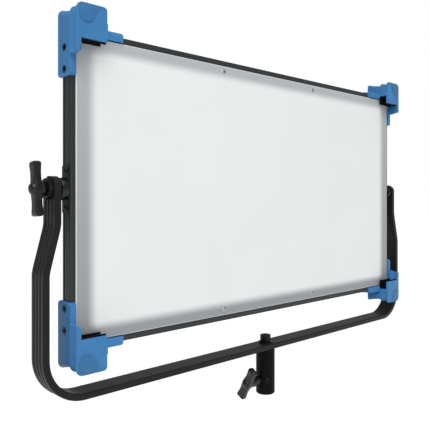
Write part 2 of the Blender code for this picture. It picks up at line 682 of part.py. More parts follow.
def make_collar():
    outline = []
    for index in range(COLLAR_TEETH * 2):
        radius = COLLAR_RADIUS - (COLLAR_TOOTH if index % 2 else 0.0)
        angle = pi * index / COLLAR_TEETH
        outline.append((radius * cos(angle), radius * sin(angle)))
    near, far = ARM_OUTER + CLEAR, ARM_OUTER + CLEAR + COLLAR_LENGTH
    collar = extruded("tilt_collar", outline, "YZ", -near, -far, None, BLACK_STEEL)
    collar.location = (0, 0, PIVOT_HEIGHT)
    hole = rod("collar_hole", PIVOT_STUD_RADIUS + RUNNING_CLEAR, -near + PAST, -far - PAST, "X",
               steps=ROUND_STEPS, centre=(0, 0, PIVOT_HEIGHT))
    boolean(collar, hole)


# Panel frame

def rail_section():
    """Rail outline: how far inwards from the outer face, how far back from the front face."""
    grooves = [(middle, GROOVE_WIDTH, GROOVE_DEPTH) for middle in GROOVE_PLACES]
    grooves.append((TEE_SLOT_PLACE, TEE_SLOT_WIDTH, TEE_SLOT_DEPTH))
    points = [(0.0, 0.0)]
    for middle, width, depth in grooves:
        points += [(0.0, middle - width / 2), (depth, middle - width / 2),
                   (depth, middle + width / 2), (0.0, middle + width / 2)]
    back = FRAME_DEPTH
    points += [(0.0, back), (BACK_LIP_WIDTH, back), (BACK_LIP_WIDTH, back - RAIL_LIP),
               (RAIL_WALL, back - RAIL_LIP), (RAIL_WALL, RAIL_LIP), (FRONT_LIP_WIDTH, RAIL_LIP),
               (FRONT_LIP_WIDTH, 0.0)]
    return points


def rail(name, upright, side, panel):
    """One mitred rail: upright rails stand at x = side * half width."""
    half_across, half_along = (HALF_WIDTH, HALF_HEIGHT) if upright else (HALF_HEIGHT, HALF_WIDTH)
    section = [(side * (half_across - inwards), FRONT + back) for inwards, back in rail_section()]
    if not upright:
        section = [(back, across) for across, back in section]
    plane = "XY" if upright else "YZ"
    piece = extruded(name, section, plane, -half_along, half_along, panel, BLACK_ANODISED)
    along, across = (2, 0) if upright else (0, 2)
    for point in piece.data.vertices:
        inwards = half_across - abs(point.co[across])
        end = 1 if point.co[along] > 0 else -1
        point.co[along] = end * (half_along - inwards - CLEAR)
    return piece


def make_rails(panel):
    rail("rail_top", False, 1, panel)
    rail("rail_bottom", False, -1, panel)
    for side, word in ((-1, "left"), (1, "right")):
        piece = rail("rail_" + word, True, side, panel)
        start, end = side * (HALF_WIDTH - RAIL_WALL - PAST), side * (HALF_WIDTH + PAST)
        drills = [(PIVOT_STUD_RADIUS + CLEAR, 0.0, 0.0, ROUND_STEPS)]
        for level in (-1, 1):
            drills.append((PIVOT_SCREW_SHANK + CLEAR, FRONT + PIVOT_SCREW_PLACE,
                           level * PIVOT_SCREW_OFFSET, SMALL_STEPS))
            for drop in (BRACKET_SCREW_UPPER, BRACKET_SCREW_LOWER):
                drills.append((BRACKET_SCREW_SHANK + CLEAR, FRONT + BRACKET_SCREW_DEPTH,
                               level * (HALF_HEIGHT - drop), SMALL_STEPS))
        for radius, y, z, steps in drills:
            boolean(piece, rod("rail_hole", radius, start, end, "X", panel, steps=steps, centre=(0, y, z)))


# Corner brackets

def corner_box(name, sides, inwards, drop, depth, panel):
    """A box given by its ranges inwards from the frame's side, down from its top and back from its front."""
    across, up = sides
    xs = sorted(across * (HALF_WIDTH - value) for value in inwards)
    zs = sorted(up * (HALF_HEIGHT - value) for value in drop)
    ys = sorted(FRONT + value for value in depth)
    return box(name, (xs[0], ys[0], zs[0]), (xs[1], ys[1], zs[1]), panel)


def corner_outline(sides, corners):
    across, up = sides
    return [(across * (HALF_WIDTH - corner[0]), up * (HALF_HEIGHT - corner[1]), *corner[2:])
            for corner in corners]


def flute(sides, depth_at, panel):
    """A ring that cuts a shallow groove round the bracket's outer side and top."""
    cut = BRACKET_FLUTE
    rim = [(-FAR, -FAR), (FAR, -FAR), (FAR, -BRACKET_TOP_WALL - cut),
           (BRACKET_LUG_WIDTH - cut, -BRACKET_TOP_WALL - cut),
           (BRACKET_LUG_WIDTH - cut, cut - BRACKET_RISE, BRACKET_INNER_RADIUS - cut),
           (cut - BRACKET_WALL, cut - BRACKET_RISE, BRACKET_OUTER_RADIUS - cut), (cut - BRACKET_WALL, FAR),
           (-FAR, FAR)]
    middle, half = FRONT + depth_at, BRACKET_FLUTE / 2
    return extruded("flute", corner_outline(sides, rim), "XZ", middle - half, middle + half, panel)


def bracket(word, sides, panel):
    """One corner block: it wraps the frame's corner and carries the accessory slot's lug."""
    leg = DIFFUSER_SIDE_INSET + BRACKET_OVERLAP
    outline = [(-BRACKET_WALL, BRACKET_SIDE_DROP, BRACKET_END_RADIUS),
               (-BRACKET_WALL, -BRACKET_RISE, BRACKET_OUTER_RADIUS),
               (BRACKET_LUG_WIDTH, -BRACKET_RISE, BRACKET_INNER_RADIUS),
               (BRACKET_LUG_WIDTH, -BRACKET_TOP_WALL),
               (BRACKET_TOP_REACH, -BRACKET_TOP_WALL, BRACKET_END_RADIUS), (BRACKET_TOP_REACH, leg),
               (BRACKET_LUG_WIDTH, leg), (BRACKET_LUG_WIDTH, BRACKET_LUG_DROP),
               (leg, BRACKET_LUG_DROP), (leg, BRACKET_SIDE_DROP)]
    piece = extruded("bracket_" + word, corner_outline(sides, outline), "XZ", FRONT - BRACKET_FRONT,
                     FRONT + BRACKET_BACK, panel, BLUE_PLASTIC)
    ahead, seat = (-FAR, -BRACKET_SEAT), (-BRACKET_FRONT + BRACKET_LIP, -BRACKET_SEAT)
    inset, top = DIFFUSER_SIDE_INSET - CLEAR, DIFFUSER_TOP_INSET - CLEAR
    cuts = {
        "frame_pocket": ((-CLEAR, FAR), (-CLEAR, FAR), (-CLEAR, FRAME_DEPTH + CLEAR)),
        "diffuser_window": ((inset, FAR), (top, FAR), (-BRACKET_SEAT - PAST / 4, PAST / 4)),
        "accessory_slot": ((SLOT_END, FAR), (SLOT_ROOF, FAR), seat),
        "lug_edge": ((BRACKET_ARM_WIDTH, FAR), (BRACKET_LUG_DROP, FAR), ahead),
        "arm_end": ((-FAR, FAR), (BRACKET_ARM_DROP, FAR), ahead),
        "lug_side": ((BRACKET_LUG_WIDTH, FAR), (-FAR, FAR), ahead),
        "back_corner": ((leg, FAR), (leg, FAR), (0.0, FAR)),
    }
    for name, (inwards, drop, depth) in cuts.items():
        boolean(piece, corner_box(name, sides, inwards, drop, depth, panel))
    soften(piece, BRACKET_EDGE)
    for depth_at in (-BRACKET_SEAT + BRACKET_FLUTE / 2, -BRACKET_FRONT + BRACKET_LIP + BRACKET_FLUTE):
        boolean(piece, flute(sides, depth_at, panel))
    across, up = sides
    face = FRONT - BRACKET_FRONT
    profile = scaled(BOSS_DOME, BRACKET_BOSS_RADIUS, BRACKET_BOSS_HEIGHT)
    profile += [(BRACKET_BOSS_RADIUS, -BRACKET_LIP / 2), (0.0, -BRACKET_LIP / 2)]
    boss_x = across * (HALF_WIDTH + BRACKET_WALL - BRACKET_BOSS_INSET)
    boss_z = up * (HALF_HEIGHT + BRACKET_RISE - BRACKET_BOSS_INSET)
    boss = turned("boss", profile, "Z", panel, None, BOSS_STEPS)
    boss.matrix_local = Matrix.Translation((boss_x, face, boss_z)) @ Matrix.Rotation(pi / 2, 4, "X")
    boolean(piece, boss, "UNION")
    floor = HALF_WIDTH + BRACKET_WALL - BRACKET_SCREW_HEIGHT - 2 * CLEAR
    for index, drop in enumerate((BRACKET_SCREW_UPPER, BRACKET_SCREW_LOWER), 1):
        at = (0, FRONT + BRACKET_SCREW_DEPTH, up * (HALF_HEIGHT - drop))
        boolean(piece, rod("head_recess", BRACKET_SCREW_HEAD + CLEAR, across * floor,
                           across * (HALF_WIDTH + BRACKET_WALL + PAST), "X", panel,
                           steps=RECESS_STEPS, centre=at))
        boolean(piece, rod("shank_hole", BRACKET_SCREW_SHANK + CLEAR, across * HALF_WIDTH,
                           across * (floor + PAST), "X", panel, steps=SMALL_STEPS, centre=at))
        side_screw(f"bracket_screw_{word}_{index}", across, floor + CLEAR, at, BRACKET_SCREW_HEAD,
                   BRACKET_SCREW_HEIGHT, BRACKET_SCREW_SHANK, floor - HALF_WIDTH + RAIL_WALL, panel)


def slot_liner(word, sides, panel):
    """Black channel that lines the accessory slot under a bracket's lug."""
    front, back = -BRACKET_FRONT + BRACKET_LIP + CLEAR, -BRACKET_SEAT - CLEAR
    roof = SLOT_ROOF + CLEAR
    drop = BRACKET_LUG_DROP + LINER_DROP
    inwards = (SLOT_END + CLEAR, BRACKET_LUG_WIDTH)
    liner = corner_box("slot_liner_" + word, sides, inwards, (roof, drop), (front, back), panel)
    liner.data.materials.append(BLACK_RUBBER)
    boolean(liner, corner_box("liner_channel", sides, (-FAR, FAR), (roof + LINER_WALL, FAR),
                              (front + LINER_WALL, back - LINER_WALL), panel))


def make_corners(panel):
    for word, sides in CORNERS.items():
        bracket(word, sides, panel)
        slot_liner(word, sides, panel)


# Light engine

def make_diffuser(panel):
    half_w, half_h = HALF_WIDTH - DIFFUSER_SIDE_INSET, HALF_HEIGHT - DIFFUSER_TOP_INSET
    back = FRONT - CLEAR
    front = back - DIFFUSER_THICKNESS
    sheet = box("diffuser", (-half_w, front, -half_h), (half_w, back, half_h), panel, OPAL)
    soften(sheet, DIFFUSER_EDGE)
    level = half_h - DIFFUSER_SCREW_INSET
    profile = scaled(PAN_HEAD, DIFFUSER_SCREW_RADIUS, DIFFUSER_THICKNESS)
    for word, (x, z) in CORNERS.items():
        centre = (x * DIFFUSER_SCREW_SPAN / 2, 0, z * level)
        boolean(sheet, rod("screw_hole", DIFFUSER_SCREW_RADIUS + CLEAR, front - PAST, back + PAST / 4,
                           "Y", panel, steps=SMALL_STEPS, centre=centre))
        screw = turned("diffuser_screw_" + word, profile, "Z", panel, STEEL, SMALL_STEPS)
        screw.matrix_local = (Matrix.Translation((centre[0], back, centre[2]))
                              @ Matrix.Rotation(pi / 2, 4, "X"))


def led_board(name, low, high, face, panel):
    """A board with rows of raised packages on its front face."""
    board = box(name, (low[0], face, low[1]), (high[0], face + BOARD_THICKNESS, high[1]), panel, BOARD_GREEN)
    shape = bmesh.new()
    scale = Matrix.Diagonal((LED_SIZE, 2 * LED_HEIGHT, LED_SIZE, 1.0))
    for column in range(LED_COLUMNS):
        for row in range(LED_ROWS):
            x = low[0] + (high[0] - low[0]) * (column + 0.5) / LED_COLUMNS
            z = low[1] + (high[1] - low[1]) * (row + 0.5) / LED_ROWS
            bmesh.ops.create_cube(shape, size=1.0, matrix=Matrix.Translation((x, face, z)) @ scale)
    packages = bpy.data.meshes.new(name + "_packages")
    shape.to_mesh(packages)
    shape.free()
    boolean(board, place(packages, name + "_packages", panel, None), "UNION")


def make_light_engine(panel):
    """Tray, boards and finned back plate, stacked between the rails' lips."""
    half_w, half_h = HALF_WIDTH - RAIL_WALL - CLEAR, HALF_HEIGHT - RAIL_WALL - CLEAR
    tray_front = FRONT + RAIL_LIP + CLEAR
    tray_back = tray_front + TRAY_DEPTH
    tray = box("light_tray", (-half_w, tray_front, -half_h), (half_w, tray_back, half_h), panel, WHITE_PAINT)
    boolean(tray, box("tray_inside", (TRAY_WALL - half_w, tray_front - PAST, TRAY_WALL - half_h),
                      (half_w - TRAY_WALL, tray_back - TRAY_WALL, half_h - TRAY_WALL), panel))
    face = tray_back - TRAY_WALL - CLEAR - BOARD_THICKNESS
    pitch = 2 * (half_w - BOARD_MARGIN) / BOARD_COUNT
    for index in range(BOARD_COUNT):
        left = -half_w + BOARD_MARGIN + pitch * index
        low, high = (left + CLEAR, BOARD_MARGIN - half_h), (left + pitch - CLEAR, half_h - BOARD_MARGIN)
        led_board(f"led_board_{index + 1}", low, high, face, panel)

    base_front, base_back = tray_back + CLEAR, BACK - RAIL_LIP - CLEAR
    reach_x = HALF_WIDTH - BACK_LIP_WIDTH - 2 * CLEAR
    reach_z = HALF_HEIGHT - BACK_LIP_WIDTH - 2 * CLEAR
    count = int((2 * reach_x - FIN_THICKNESS) / FIN_PITCH)
    outline = [(-half_w, base_front), (half_w, base_front), (half_w, base_back)]
    for index in range(count, -1, -1):
        middle = (index - count / 2) * FIN_PITCH
        near, far = middle + FIN_THICKNESS / 2, middle - FIN_THICKNESS / 2
        outline += [(near, base_back), (near, FIN_TOP), (far, FIN_TOP), (far, base_back)]
    outline.append((-half_w, base_back))
    sink = extruded("heat_sink", outline, "XY", -half_h, half_h, panel, GREY_ANODISED)
    for side in (-1, 1):
        low, high = sorted((side * reach_z, side * (half_h + PAST)))
        boolean(sink, box("fin_end", (-half_w - PAST, base_back, low),
                          (half_w + PAST, FIN_TOP + PAST, high), panel))


# Rear housing and controls

def make_housing(panel):
    front, back = FIN_TOP + CLEAR, HOUSING_BACK
    half_w, half_h = HOUSING_WIDTH / 2, HOUSING_HEIGHT / 2
    outline = [(x * half_w, z * half_h, HOUSING_CORNER) for x, z in ((-1, -1), (1, -1), (1, 1), (-1, 1))]
    housing = extruded("rear_housing", outline, "XZ", front, back, panel, BLACK_PAINT)
    soften(housing, HOUSING_EDGE, 2)
    inner_w, inner_h = half_w - HOUSING_WALL, half_h - HOUSING_WALL
    boolean(housing, box("housing_inside", (-inner_w, front - PAST, -inner_h),
                         (inner_w, back - HOUSING_WALL, inner_h), panel))
    start, end = back - HOUSING_WALL - PAST / 2, back + PAST
    half_dw, half_dh = DISPLAY_WIDTH / 2, DISPLAY_HEIGHT / 2
    boolean(housing, box("display_hole", (-half_dw - CLEAR, start, DISPLAY_RISE - half_dh - CLEAR),
                         (half_dw + CLEAR, end, DISPLAY_RISE + half_dh + CLEAR), panel))
    glass_back = back - HOUSING_WALL + DISPLAY_THICKNESS
    box("display_window", (-half_dw, back - HOUSING_WALL, DISPLAY_RISE - half_dh),
        (half_dw, glass_back, DISPLAY_RISE + half_dh), panel, GLASS)
    for word, side in (("dimmer", 1), ("colour", -1)):
        boolean(housing, rod("shaft_hole", DIAL_SHAFT_RADIUS + RUNNING_CLEAR, start, end, "Y", panel,
                             steps=ROUND_STEPS, centre=(side * DIAL_SPREAD, 0, DISPLAY_RISE)))
        make_dial(word + "_dial", (side * DIAL_SPREAD, back + 2 * CLEAR, DISPLAY_RISE), panel)
    half_sw, half_sh = SWITCH_WIDTH / 2 + SWITCH_CLEAR, SWITCH_HEIGHT / 2 + SWITCH_CLEAR
    boolean(housing, box("switch_hole", (-half_sw, start, -SOCKET_ROW_DROP - half_sh),
                         (half_sw, end, -SOCKET_ROW_DROP + half_sh), panel))
    make_switch((0, back - HOUSING_WALL / 2, -SOCKET_ROW_DROP), panel)
    for name, side, radius in (("power_inlet", -1, POWER_INLET_RADIUS),
                               ("data_socket", 1, DATA_SOCKET_RADIUS)):
        boolean(housing, rod("connector_hole", radius + CLEAR, start, end, "Y", panel,
                             centre=(side * SOCKET_SPREAD, 0, -SOCKET_ROW_DROP)))
        connector(name, (side * SOCKET_SPREAD, back, -SOCKET_ROW_DROP), radius, panel)
    supply_front = front + 2 * CLEAR
    box("power_supply", (-SUPPLY_WIDTH / 2, supply_front, -SUPPLY_DROP),
        (SUPPLY_WIDTH / 2, supply_front + SUPPLY_DEPTH, SUPPLY_HEIGHT - SUPPLY_DROP), panel,
        BARE_ALUMINIUM)
    board_back = back - HOUSING_WALL - CONTROL_BOARD_SETBACK
    board_low = DISPLAY_RISE - CONTROL_BOARD_HEIGHT / 2
    box("control_board", (-CONTROL_BOARD_WIDTH / 2, board_back - BOARD_THICKNESS, board_low),
        (CONTROL_BOARD_WIDTH / 2, board_back, board_low + CONTROL_BOARD_HEIGHT), panel, BOARD_GREEN)


def make_dial(name, location, panel):
    """A fluted dial on a short shaft, turning about Y."""
    outline = []
    for index in range(DIAL_FLUTES * 2):
        radius = DIAL_RADIUS - (DIAL_FLUTE_DEPTH if index % 2 else 0.0)
        angle = pi * index / DIAL_FLUTES
        outline.append((radius * cos(angle), radius * sin(angle)))
    dial = extruded(name, outline, "XZ", 0.0, DIAL_HEIGHT, panel, BLACK_PLASTIC)
    dial.location = location
    shaft = rod(name + "_shaft", DIAL_SHAFT_RADIUS, -DIAL_SHAFT_LENGTH, DIAL_HEIGHT / 2, "Y", panel,
                steps=RECESS_STEPS)
    shaft.location = location
    boolean(dial, shaft, "UNION")
    mark = box(name + "_mark", (-DIAL_MARK_WIDTH / 2, DIAL_HEIGHT - DIAL_MARK_DEPTH, DIAL_MARK_START),
               (DIAL_MARK_WIDTH / 2, DIAL_HEIGHT + PAST, DIAL_RADIUS + PAST), panel)
    mark.location = location
    boolean(dial, mark)


def make_switch(location, panel):
    """A rocker, shown in its off position."""
    half = SWITCH_HEIGHT / 2
    outline = [(-SWITCH_FOOT_DEPTH, -SWITCH_FOOT_HALF), (-SWITCH_SHOULDER, -half),
               (SWITCH_TIP, -half, SWITCH_EDGE), (SWITCH_DISH, 0.0), (SWITCH_TIP, half, SWITCH_EDGE),
               (-SWITCH_SHOULDER, half), (-SWITCH_FOOT_DEPTH, SWITCH_FOOT_HALF)]
    rocker = extruded("power_switch", outline, "YZ", -SWITCH_WIDTH / 2, SWITCH_WIDTH / 2, panel,
                      BLACK_PLASTIC)
    rocker.location = location
    rocker.rotation_euler = (radians(-SWITCH_SWING), 0, 0)


def connector(name, location, radius, panel):
    """A round panel connector, open to the rear."""
    inner = radius * CONNECTOR_BORE
    floor = CONNECTOR_PROUD - CONNECTOR_BORE_DEPTH
    end = CONNECTOR_PROUD - CONNECTOR_DEPTH
    profile = [(0.0, floor), (inner, floor), (inner, CONNECTOR_PROUD), (radius, CONNECTOR_PROUD),
               (radius, end), (0.0, end)]
    piece = turned(name, profile, "Z", panel, BLACK_PLASTIC)
    piece.matrix_local = Matrix.Translation(location) @ Matrix.Rotation(-pi / 2, 4, "X")


def main():
    make_yoke()
    make_socket()
    make_knobs()
    make_collar()
    panel = axis_empty("tilt_axis", (0, 0, PIVOT_HEIGHT))
    make_tilt_pivots(panel)
    make_rails(panel)
    make_corners(panel)
    make_diffuser(panel)
    make_light_engine(panel)
    make_housing(panel)
    shade(PARTS.objects)


main()
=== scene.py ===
"""Finishes and fine pieces for a slim LED soft light panel in a U yoke, with its studio."""

from math import atan2, cos, exp, pi, radians, sin, sqrt, tan

import bmesh
import bpy
from bpy.props import FloatProperty, FloatVectorProperty, PointerProperty
from mathutils import Matrix, Vector


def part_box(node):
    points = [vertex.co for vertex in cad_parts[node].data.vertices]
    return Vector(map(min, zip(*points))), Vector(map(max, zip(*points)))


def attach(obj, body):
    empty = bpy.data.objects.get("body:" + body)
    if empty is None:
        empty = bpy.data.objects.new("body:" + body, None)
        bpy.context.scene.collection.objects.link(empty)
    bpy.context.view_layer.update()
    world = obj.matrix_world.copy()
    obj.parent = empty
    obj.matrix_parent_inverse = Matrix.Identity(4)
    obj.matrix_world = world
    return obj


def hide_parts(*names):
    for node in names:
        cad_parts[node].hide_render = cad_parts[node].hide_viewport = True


bl_info = {
    "name": "Soft light panel",
    "version": (1, 0, 0),
    "blender": (4, 5, 0),
    "location": "View3D > Sidebar > Soft light",
    "description": "Builds the fine pieces and finishes of an LED soft light panel",
    "category": "Object",
}

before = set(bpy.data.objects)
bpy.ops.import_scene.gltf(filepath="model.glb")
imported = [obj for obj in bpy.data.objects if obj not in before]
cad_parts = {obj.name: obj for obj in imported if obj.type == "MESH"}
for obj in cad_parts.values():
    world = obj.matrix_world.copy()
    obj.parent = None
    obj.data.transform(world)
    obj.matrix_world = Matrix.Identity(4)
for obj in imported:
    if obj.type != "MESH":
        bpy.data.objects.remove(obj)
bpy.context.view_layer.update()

HALF_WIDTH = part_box("rail_right")[1].x
FRAME_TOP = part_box("rail_top")[1].z
FRAME_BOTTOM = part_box("rail_bottom")[0].z
TILT_HEIGHT = (FRAME_TOP + FRAME_BOTTOM) / 2
HALF_HEIGHT = (FRAME_TOP - FRAME_BOTTOM) / 2
FRAME_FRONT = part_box("rail_top")[0].y
CORNERS = {"top_left": (-1, 1), "top_right": (1, 1), "bottom_left": (-1, -1), "bottom_right": (1, -1)}
FAR = 0.2
CLEAR = 0.0003
FRAME_DEPTH = 0.016
SHEET_INSET_SIDE = 0.006
SHEET_INSET_TOP = 0.008
TILT_BORE = 0.0054
CAP_SCREW_BORE = 0.0053
CLAMP_BORE = 0.0043
SET_SCREW_TURN = radians(57)
STAND_BORE = 0.0080
STAND_BORE_DEPTH = 0.040
CAMERA_PLACE = (-0.6531, -0.5806, 0.2919)
CAMERA_FACING = (0.6871, 0.7266, 0.0)
CAMERA_SENSOR = 36.0
CAMERA_LENS = 48.56
CAMERA_SHIFT = -0.0402


# Sizes and colours

def length(name, value, about):
    return FloatProperty(name=name, description=about, default=value, unit="LENGTH", precision=5)


def colour(name, value, about):
    return FloatVectorProperty(name=name, description=about, default=value, subtype="COLOR", size=3,
                               min=0.0, max=1.0)


class CornerSizes(bpy.types.PropertyGroup):
    wall: length("Wall", 0.0042, "Side wall, out from the frame")
    rise: length("Rise", 0.023, "Top of the block above the frame")
    front: length("Front", 0.022, "Lug face ahead of the frame")
    back: length("Back", 0.0205, "Rear face behind the frame's front")
    lug_width: length("Lug width", 0.0345, "Lug, in from the frame's side")
    lug_drop: length("Lug drop", 0.0155, "Lug, down from the frame's top")
    lip: length("Lip", 0.0036, "Lug's thickness over the slot")
    seat: length("Seat", 0.005, "Part ahead of the frame's front face")
    arm_width: length("Arm width", 0.0012, "Front arm beside the slot")
    arm_drop: length("Arm drop", 0.0290, "Front arm, down from the frame's top")
    side_drop: length("Side drop", 0.054, "Side wall, down from the frame's top")
    top_reach: length("Top reach", 0.0685, "Top leg, in from the frame's side")
    top_wall: length("Top wall", 0.0052, "Top leg above the frame")
    leg: length("Leg", 0.0115, "Legs' overlap on the frame's face")
    outer_radius: length("Outer radius", 0.0078, "Round of the outer corner")
    inner_radius: length("Inner radius", 0.0046, "Round of the lug's inner corner")
    end_radius: length("End radius", 0.003, "Round of the legs' ends")
    edge: length("Edge", 0.0004, "Round of every edge")
    lug_round: length("Lug round", 0.0018, "Round of the lug's inner front edge")
    boss_radius: length("Boss radius", 0.0101, "Domed disc on the lug")
    boss_height: length("Boss height", 0.0015, "Dome above the lug's face")
    boss_inset: length("Boss inset", 0.0129, "Disc's centre from the outer side")
    boss_drop: length("Boss drop", 0.0106, "Disc's centre below the block's top")
    screw_depth: length("Screw depth", 0.006, "Side screws behind the frame's front")
    screw_upper: length("Upper screw", 0.0223, "Upper side screw below the frame's top")
    screw_lower: length("Lower screw", 0.0463, "Lower side screw below the frame's top")
    screw_radius: length("Screw radius", 0.004, "Side screw's head")
    screw_height: length("Screw height", 0.0022, "Side screw's head, top to bottom")


class YokeSizes(bpy.types.PropertyGroup):
    width: length("Width", 0.028, "Bar, front to back")
    thickness: length("Thickness", 0.008, "Bar, across its flat")
    arm: length("Arm", 0.348, "Upper arm's middle from the centre")
    jog: length("Jog", 0.01359, "Lower arm further out than the upper")
    jog_start: length("Jog start", 0.040, "Start of the jog below the tilt axis")
    jog_length: length("Jog length", 0.051, "Height of the jog")
    corner_radius: length("Corner radius", 0.047, "Bend at the foot of each arm")
    jog_radius: length("Jog radius", 0.040, "Bends of the jog")
    bar_height: length("Bar height", 0.071, "Cross bar's middle above the stand socket's mouth")
    groove_pitch: length("Groove pitch", 0.007, "Between grooves")
    groove_width: length("Groove width", 0.0028, "Across one groove")
    groove_depth: length("Groove depth", 0.0010, "Depth of one groove")
    edge: length("Edge", 0.0014, "Round of the bar's edges")


class HandleSizes(bpy.types.PropertyGroup):
    tilt_length: length("Tilt handle", 0.0590, "Tip to tip")
    tilt_turn: FloatProperty(name="Tilt handle turn", description="Lean of the tilt handle",
                             default=radians(-6), subtype="ANGLE")
    socket_length: length("Socket handle", 0.0498, "Tip to tip")
    socket_turn: FloatProperty(name="Socket handle turn", description="Lean of the socket handle",
                               default=radians(30), subtype="ANGLE")


class Colours(bpy.types.PropertyGroup):
    block_blue: colour("Block blue", (0.036, 0.148, 0.325), "Moulded corner blocks")
    anodised: colour("Black anodised", (0.017, 0.018, 0.019), "Frame rails")
    yoke_black: colour("Yoke black", (0.0085, 0.0092, 0.0090), "Yoke bar and pivot plates")
    powder: colour("Black powder coat", (0.0030, 0.0030, 0.0032), "Receiver and rear housing")
    moulded: colour("Black nylon", (0.0020, 0.0021, 0.0022), "Handles, dials and connectors")
    rubber: colour("Black rubber", (0.003, 0.003, 0.004), "Slot liners and washers")
    opal: colour("Opal sheet", (0.72, 0.745, 0.74), "Middle of the diffusing sheet")
    # The opal sheet's grey border is painted shade; the next three values set its colour and its widths.
    opal_painted_shade: colour("Opal shade", (0.30, 0.315, 0.33), "Sheet over the tray's walls")
    shade_side: length("Shade at sides", 0.0290, "Sheet's grey border at its sides")
    shade_top: length("Shade at top", 0.0215, "Sheet's grey border at top and bottom")
    steel: colour("Bright steel", (0.50, 0.50, 0.49), "Zinc-plated screws and stud")
    dark_steel: colour("Dark steel", (0.004, 0.004, 0.0045), "Black oxide screws")
    sink: colour("Grey anodised", (0.075, 0.082, 0.084), "Heat sink")
    tray: colour("White paint", (0.80, 0.80, 0.79), "Light tray")
    board: colour("Board green", (0.020, 0.085, 0.040), "Circuit boards")
    supply: colour("Bare aluminium", (0.55, 0.56, 0.57), "Power supply case")
    glass: colour("Display glass", (0.006, 0.008, 0.010), "Display window")


class StudioSettings(bpy.types.PropertyGroup):
    floor_drop: length("Floor drop", 0.95, "Floor below the stand socket")
    floor_reach: length("Floor reach", 40.0, "Radius of the floor")
    ambient: FloatProperty(name="Ambient", description="Strength of the light from all round", default=0.42)
    sun: FloatProperty(name="Overhead light", description="Strength of the soft light from above",
                       default=2.3)
    key_power: FloatProperty(name="Key light", description="Large soft light, front left", default=11.0,
                             unit="POWER")


class SoftPanelSettings(bpy.types.PropertyGroup):
    corner: PointerProperty(type=CornerSizes)
    yoke: PointerProperty(type=YokeSizes)
    handle: PointerProperty(type=HandleSizes)
    colours: PointerProperty(type=Colours)
    studio: PointerProperty(type=StudioSettings)


# Finishes

def noise(tree, where, size, detail=3.0, roughness=0.55):
    made = tree.nodes.new("ShaderNodeTexNoise")
    made.inputs["Scale"].default_value = 1.0 / size
    made.inputs["Detail"].default_value = detail
    made.inputs["Roughness"].default_value = roughness
    tree.links.new(where, made.inputs["Vector"])
    return made.outputs[0]


def remap(tree, value, low, high, to_low, to_high):
    made = tree.nodes.new("ShaderNodeMapRange")
    for socket, number in zip(("From Min", "From Max", "To Min", "To Max"), (low, high, to_low, to_high)):
        made.inputs[socket].default_value = number
    tree.links.new(value, made.inputs["Value"])
    return made.outputs[0]


def blend_colours(tree, factor, first, second):
    """first and second are each a colour or a socket."""
    made = tree.nodes.new("ShaderNodeMix")
    made.data_type = "RGBA"
    tree.links.new(factor, made.inputs[0])
    for socket, given in ((made.inputs[6], first), (made.inputs[7], second)):
        if isinstance(given, bpy.types.NodeSocket):
            tree.links.new(given, socket)
        else:
            socket.default_value = (*given, 1.0)
    return made.outputs[2]


def maths(tree, operation, *values):
    made = tree.nodes.new("ShaderNodeMath")
    made.operation = operation
    for socket, given in zip(made.inputs, values):
        if isinstance(given, bpy.types.NodeSocket):
            tree.links.new(given, socket)
        else:
            socket.default_value = given
    return made.outputs[0]


def shade_of(tint, amount):
    return tuple(min(1.0, max(0.0, part * amount)) for part in tint)


def bump(tree, shader, height, strength, distance):
    made = tree.nodes.new("ShaderNodeBump")
    made.inputs["Strength"].default_value = strength
    made.inputs["Distance"].default_value = distance
    tree.links.new(height, made.inputs["Height"])
    tree.links.new(made.outputs["Normal"], shader.inputs["Normal"])


def finish(name, tint, roughness, metal=0.0, cloud=0.03, swing=0.12, grain=0.0006, relief=0.25,
           stretch=(1.0, 1.0, 1.0), rough_swing=0.06, wear=0.0, coat=0.0, specular=0.5):
    """A coloured surface with clouds of tint, a fine grain in gloss and relief, and rubbed edges."""
    made = bpy.data.materials.new(name)
    made.use_nodes = True
    tree = made.node_tree
    shader = tree.nodes["Principled BSDF"]
    shader.inputs["Metallic"].default_value = metal
    shader.inputs["Coat Weight"].default_value = coat
    shader.inputs["Specular IOR Level"].default_value = specular
    place = tree.nodes.new("ShaderNodeTexCoord")
    lie = tree.nodes.new("ShaderNodeMapping")
    lie.inputs["Scale"].default_value = stretch
    tree.links.new(place.outputs["Object"], lie.inputs["Vector"])
    clouds = remap(tree, noise(tree, place.outputs["Object"], cloud), 0.3, 0.7, 0.0, 1.0)
    tinted = blend_colours(tree, clouds, shade_of(tint, 1.0 - swing), shade_of(tint, 1.0 + swing))
    fine = noise(tree, lie.outputs["Vector"], grain, 2.0)
    smears = noise(tree, lie.outputs["Vector"], cloud * 0.4, 4.0)
    if wear:
        edges = tree.nodes.new("ShaderNodeNewGeometry").outputs["Pointiness"]
        rubbed = maths(tree, "MULTIPLY", remap(tree, edges, 0.52, 0.62, 0.0, wear), smears)
        tinted = blend_colours(tree, rubbed, tinted, shade_of(tint, 2.2))
    tree.links.new(tinted, shader.inputs["Base Color"])
    both = maths(tree, "ADD", maths(tree, "MULTIPLY", fine, 0.5), maths(tree, "MULTIPLY", smears, 0.5))
    gloss = remap(tree, both, 0.3, 0.7, roughness - rough_swing, roughness + rough_swing)
    tree.links.new(gloss, shader.inputs["Roughness"])
    bump(tree, shader, fine, relief, grain * 0.25)
    return made


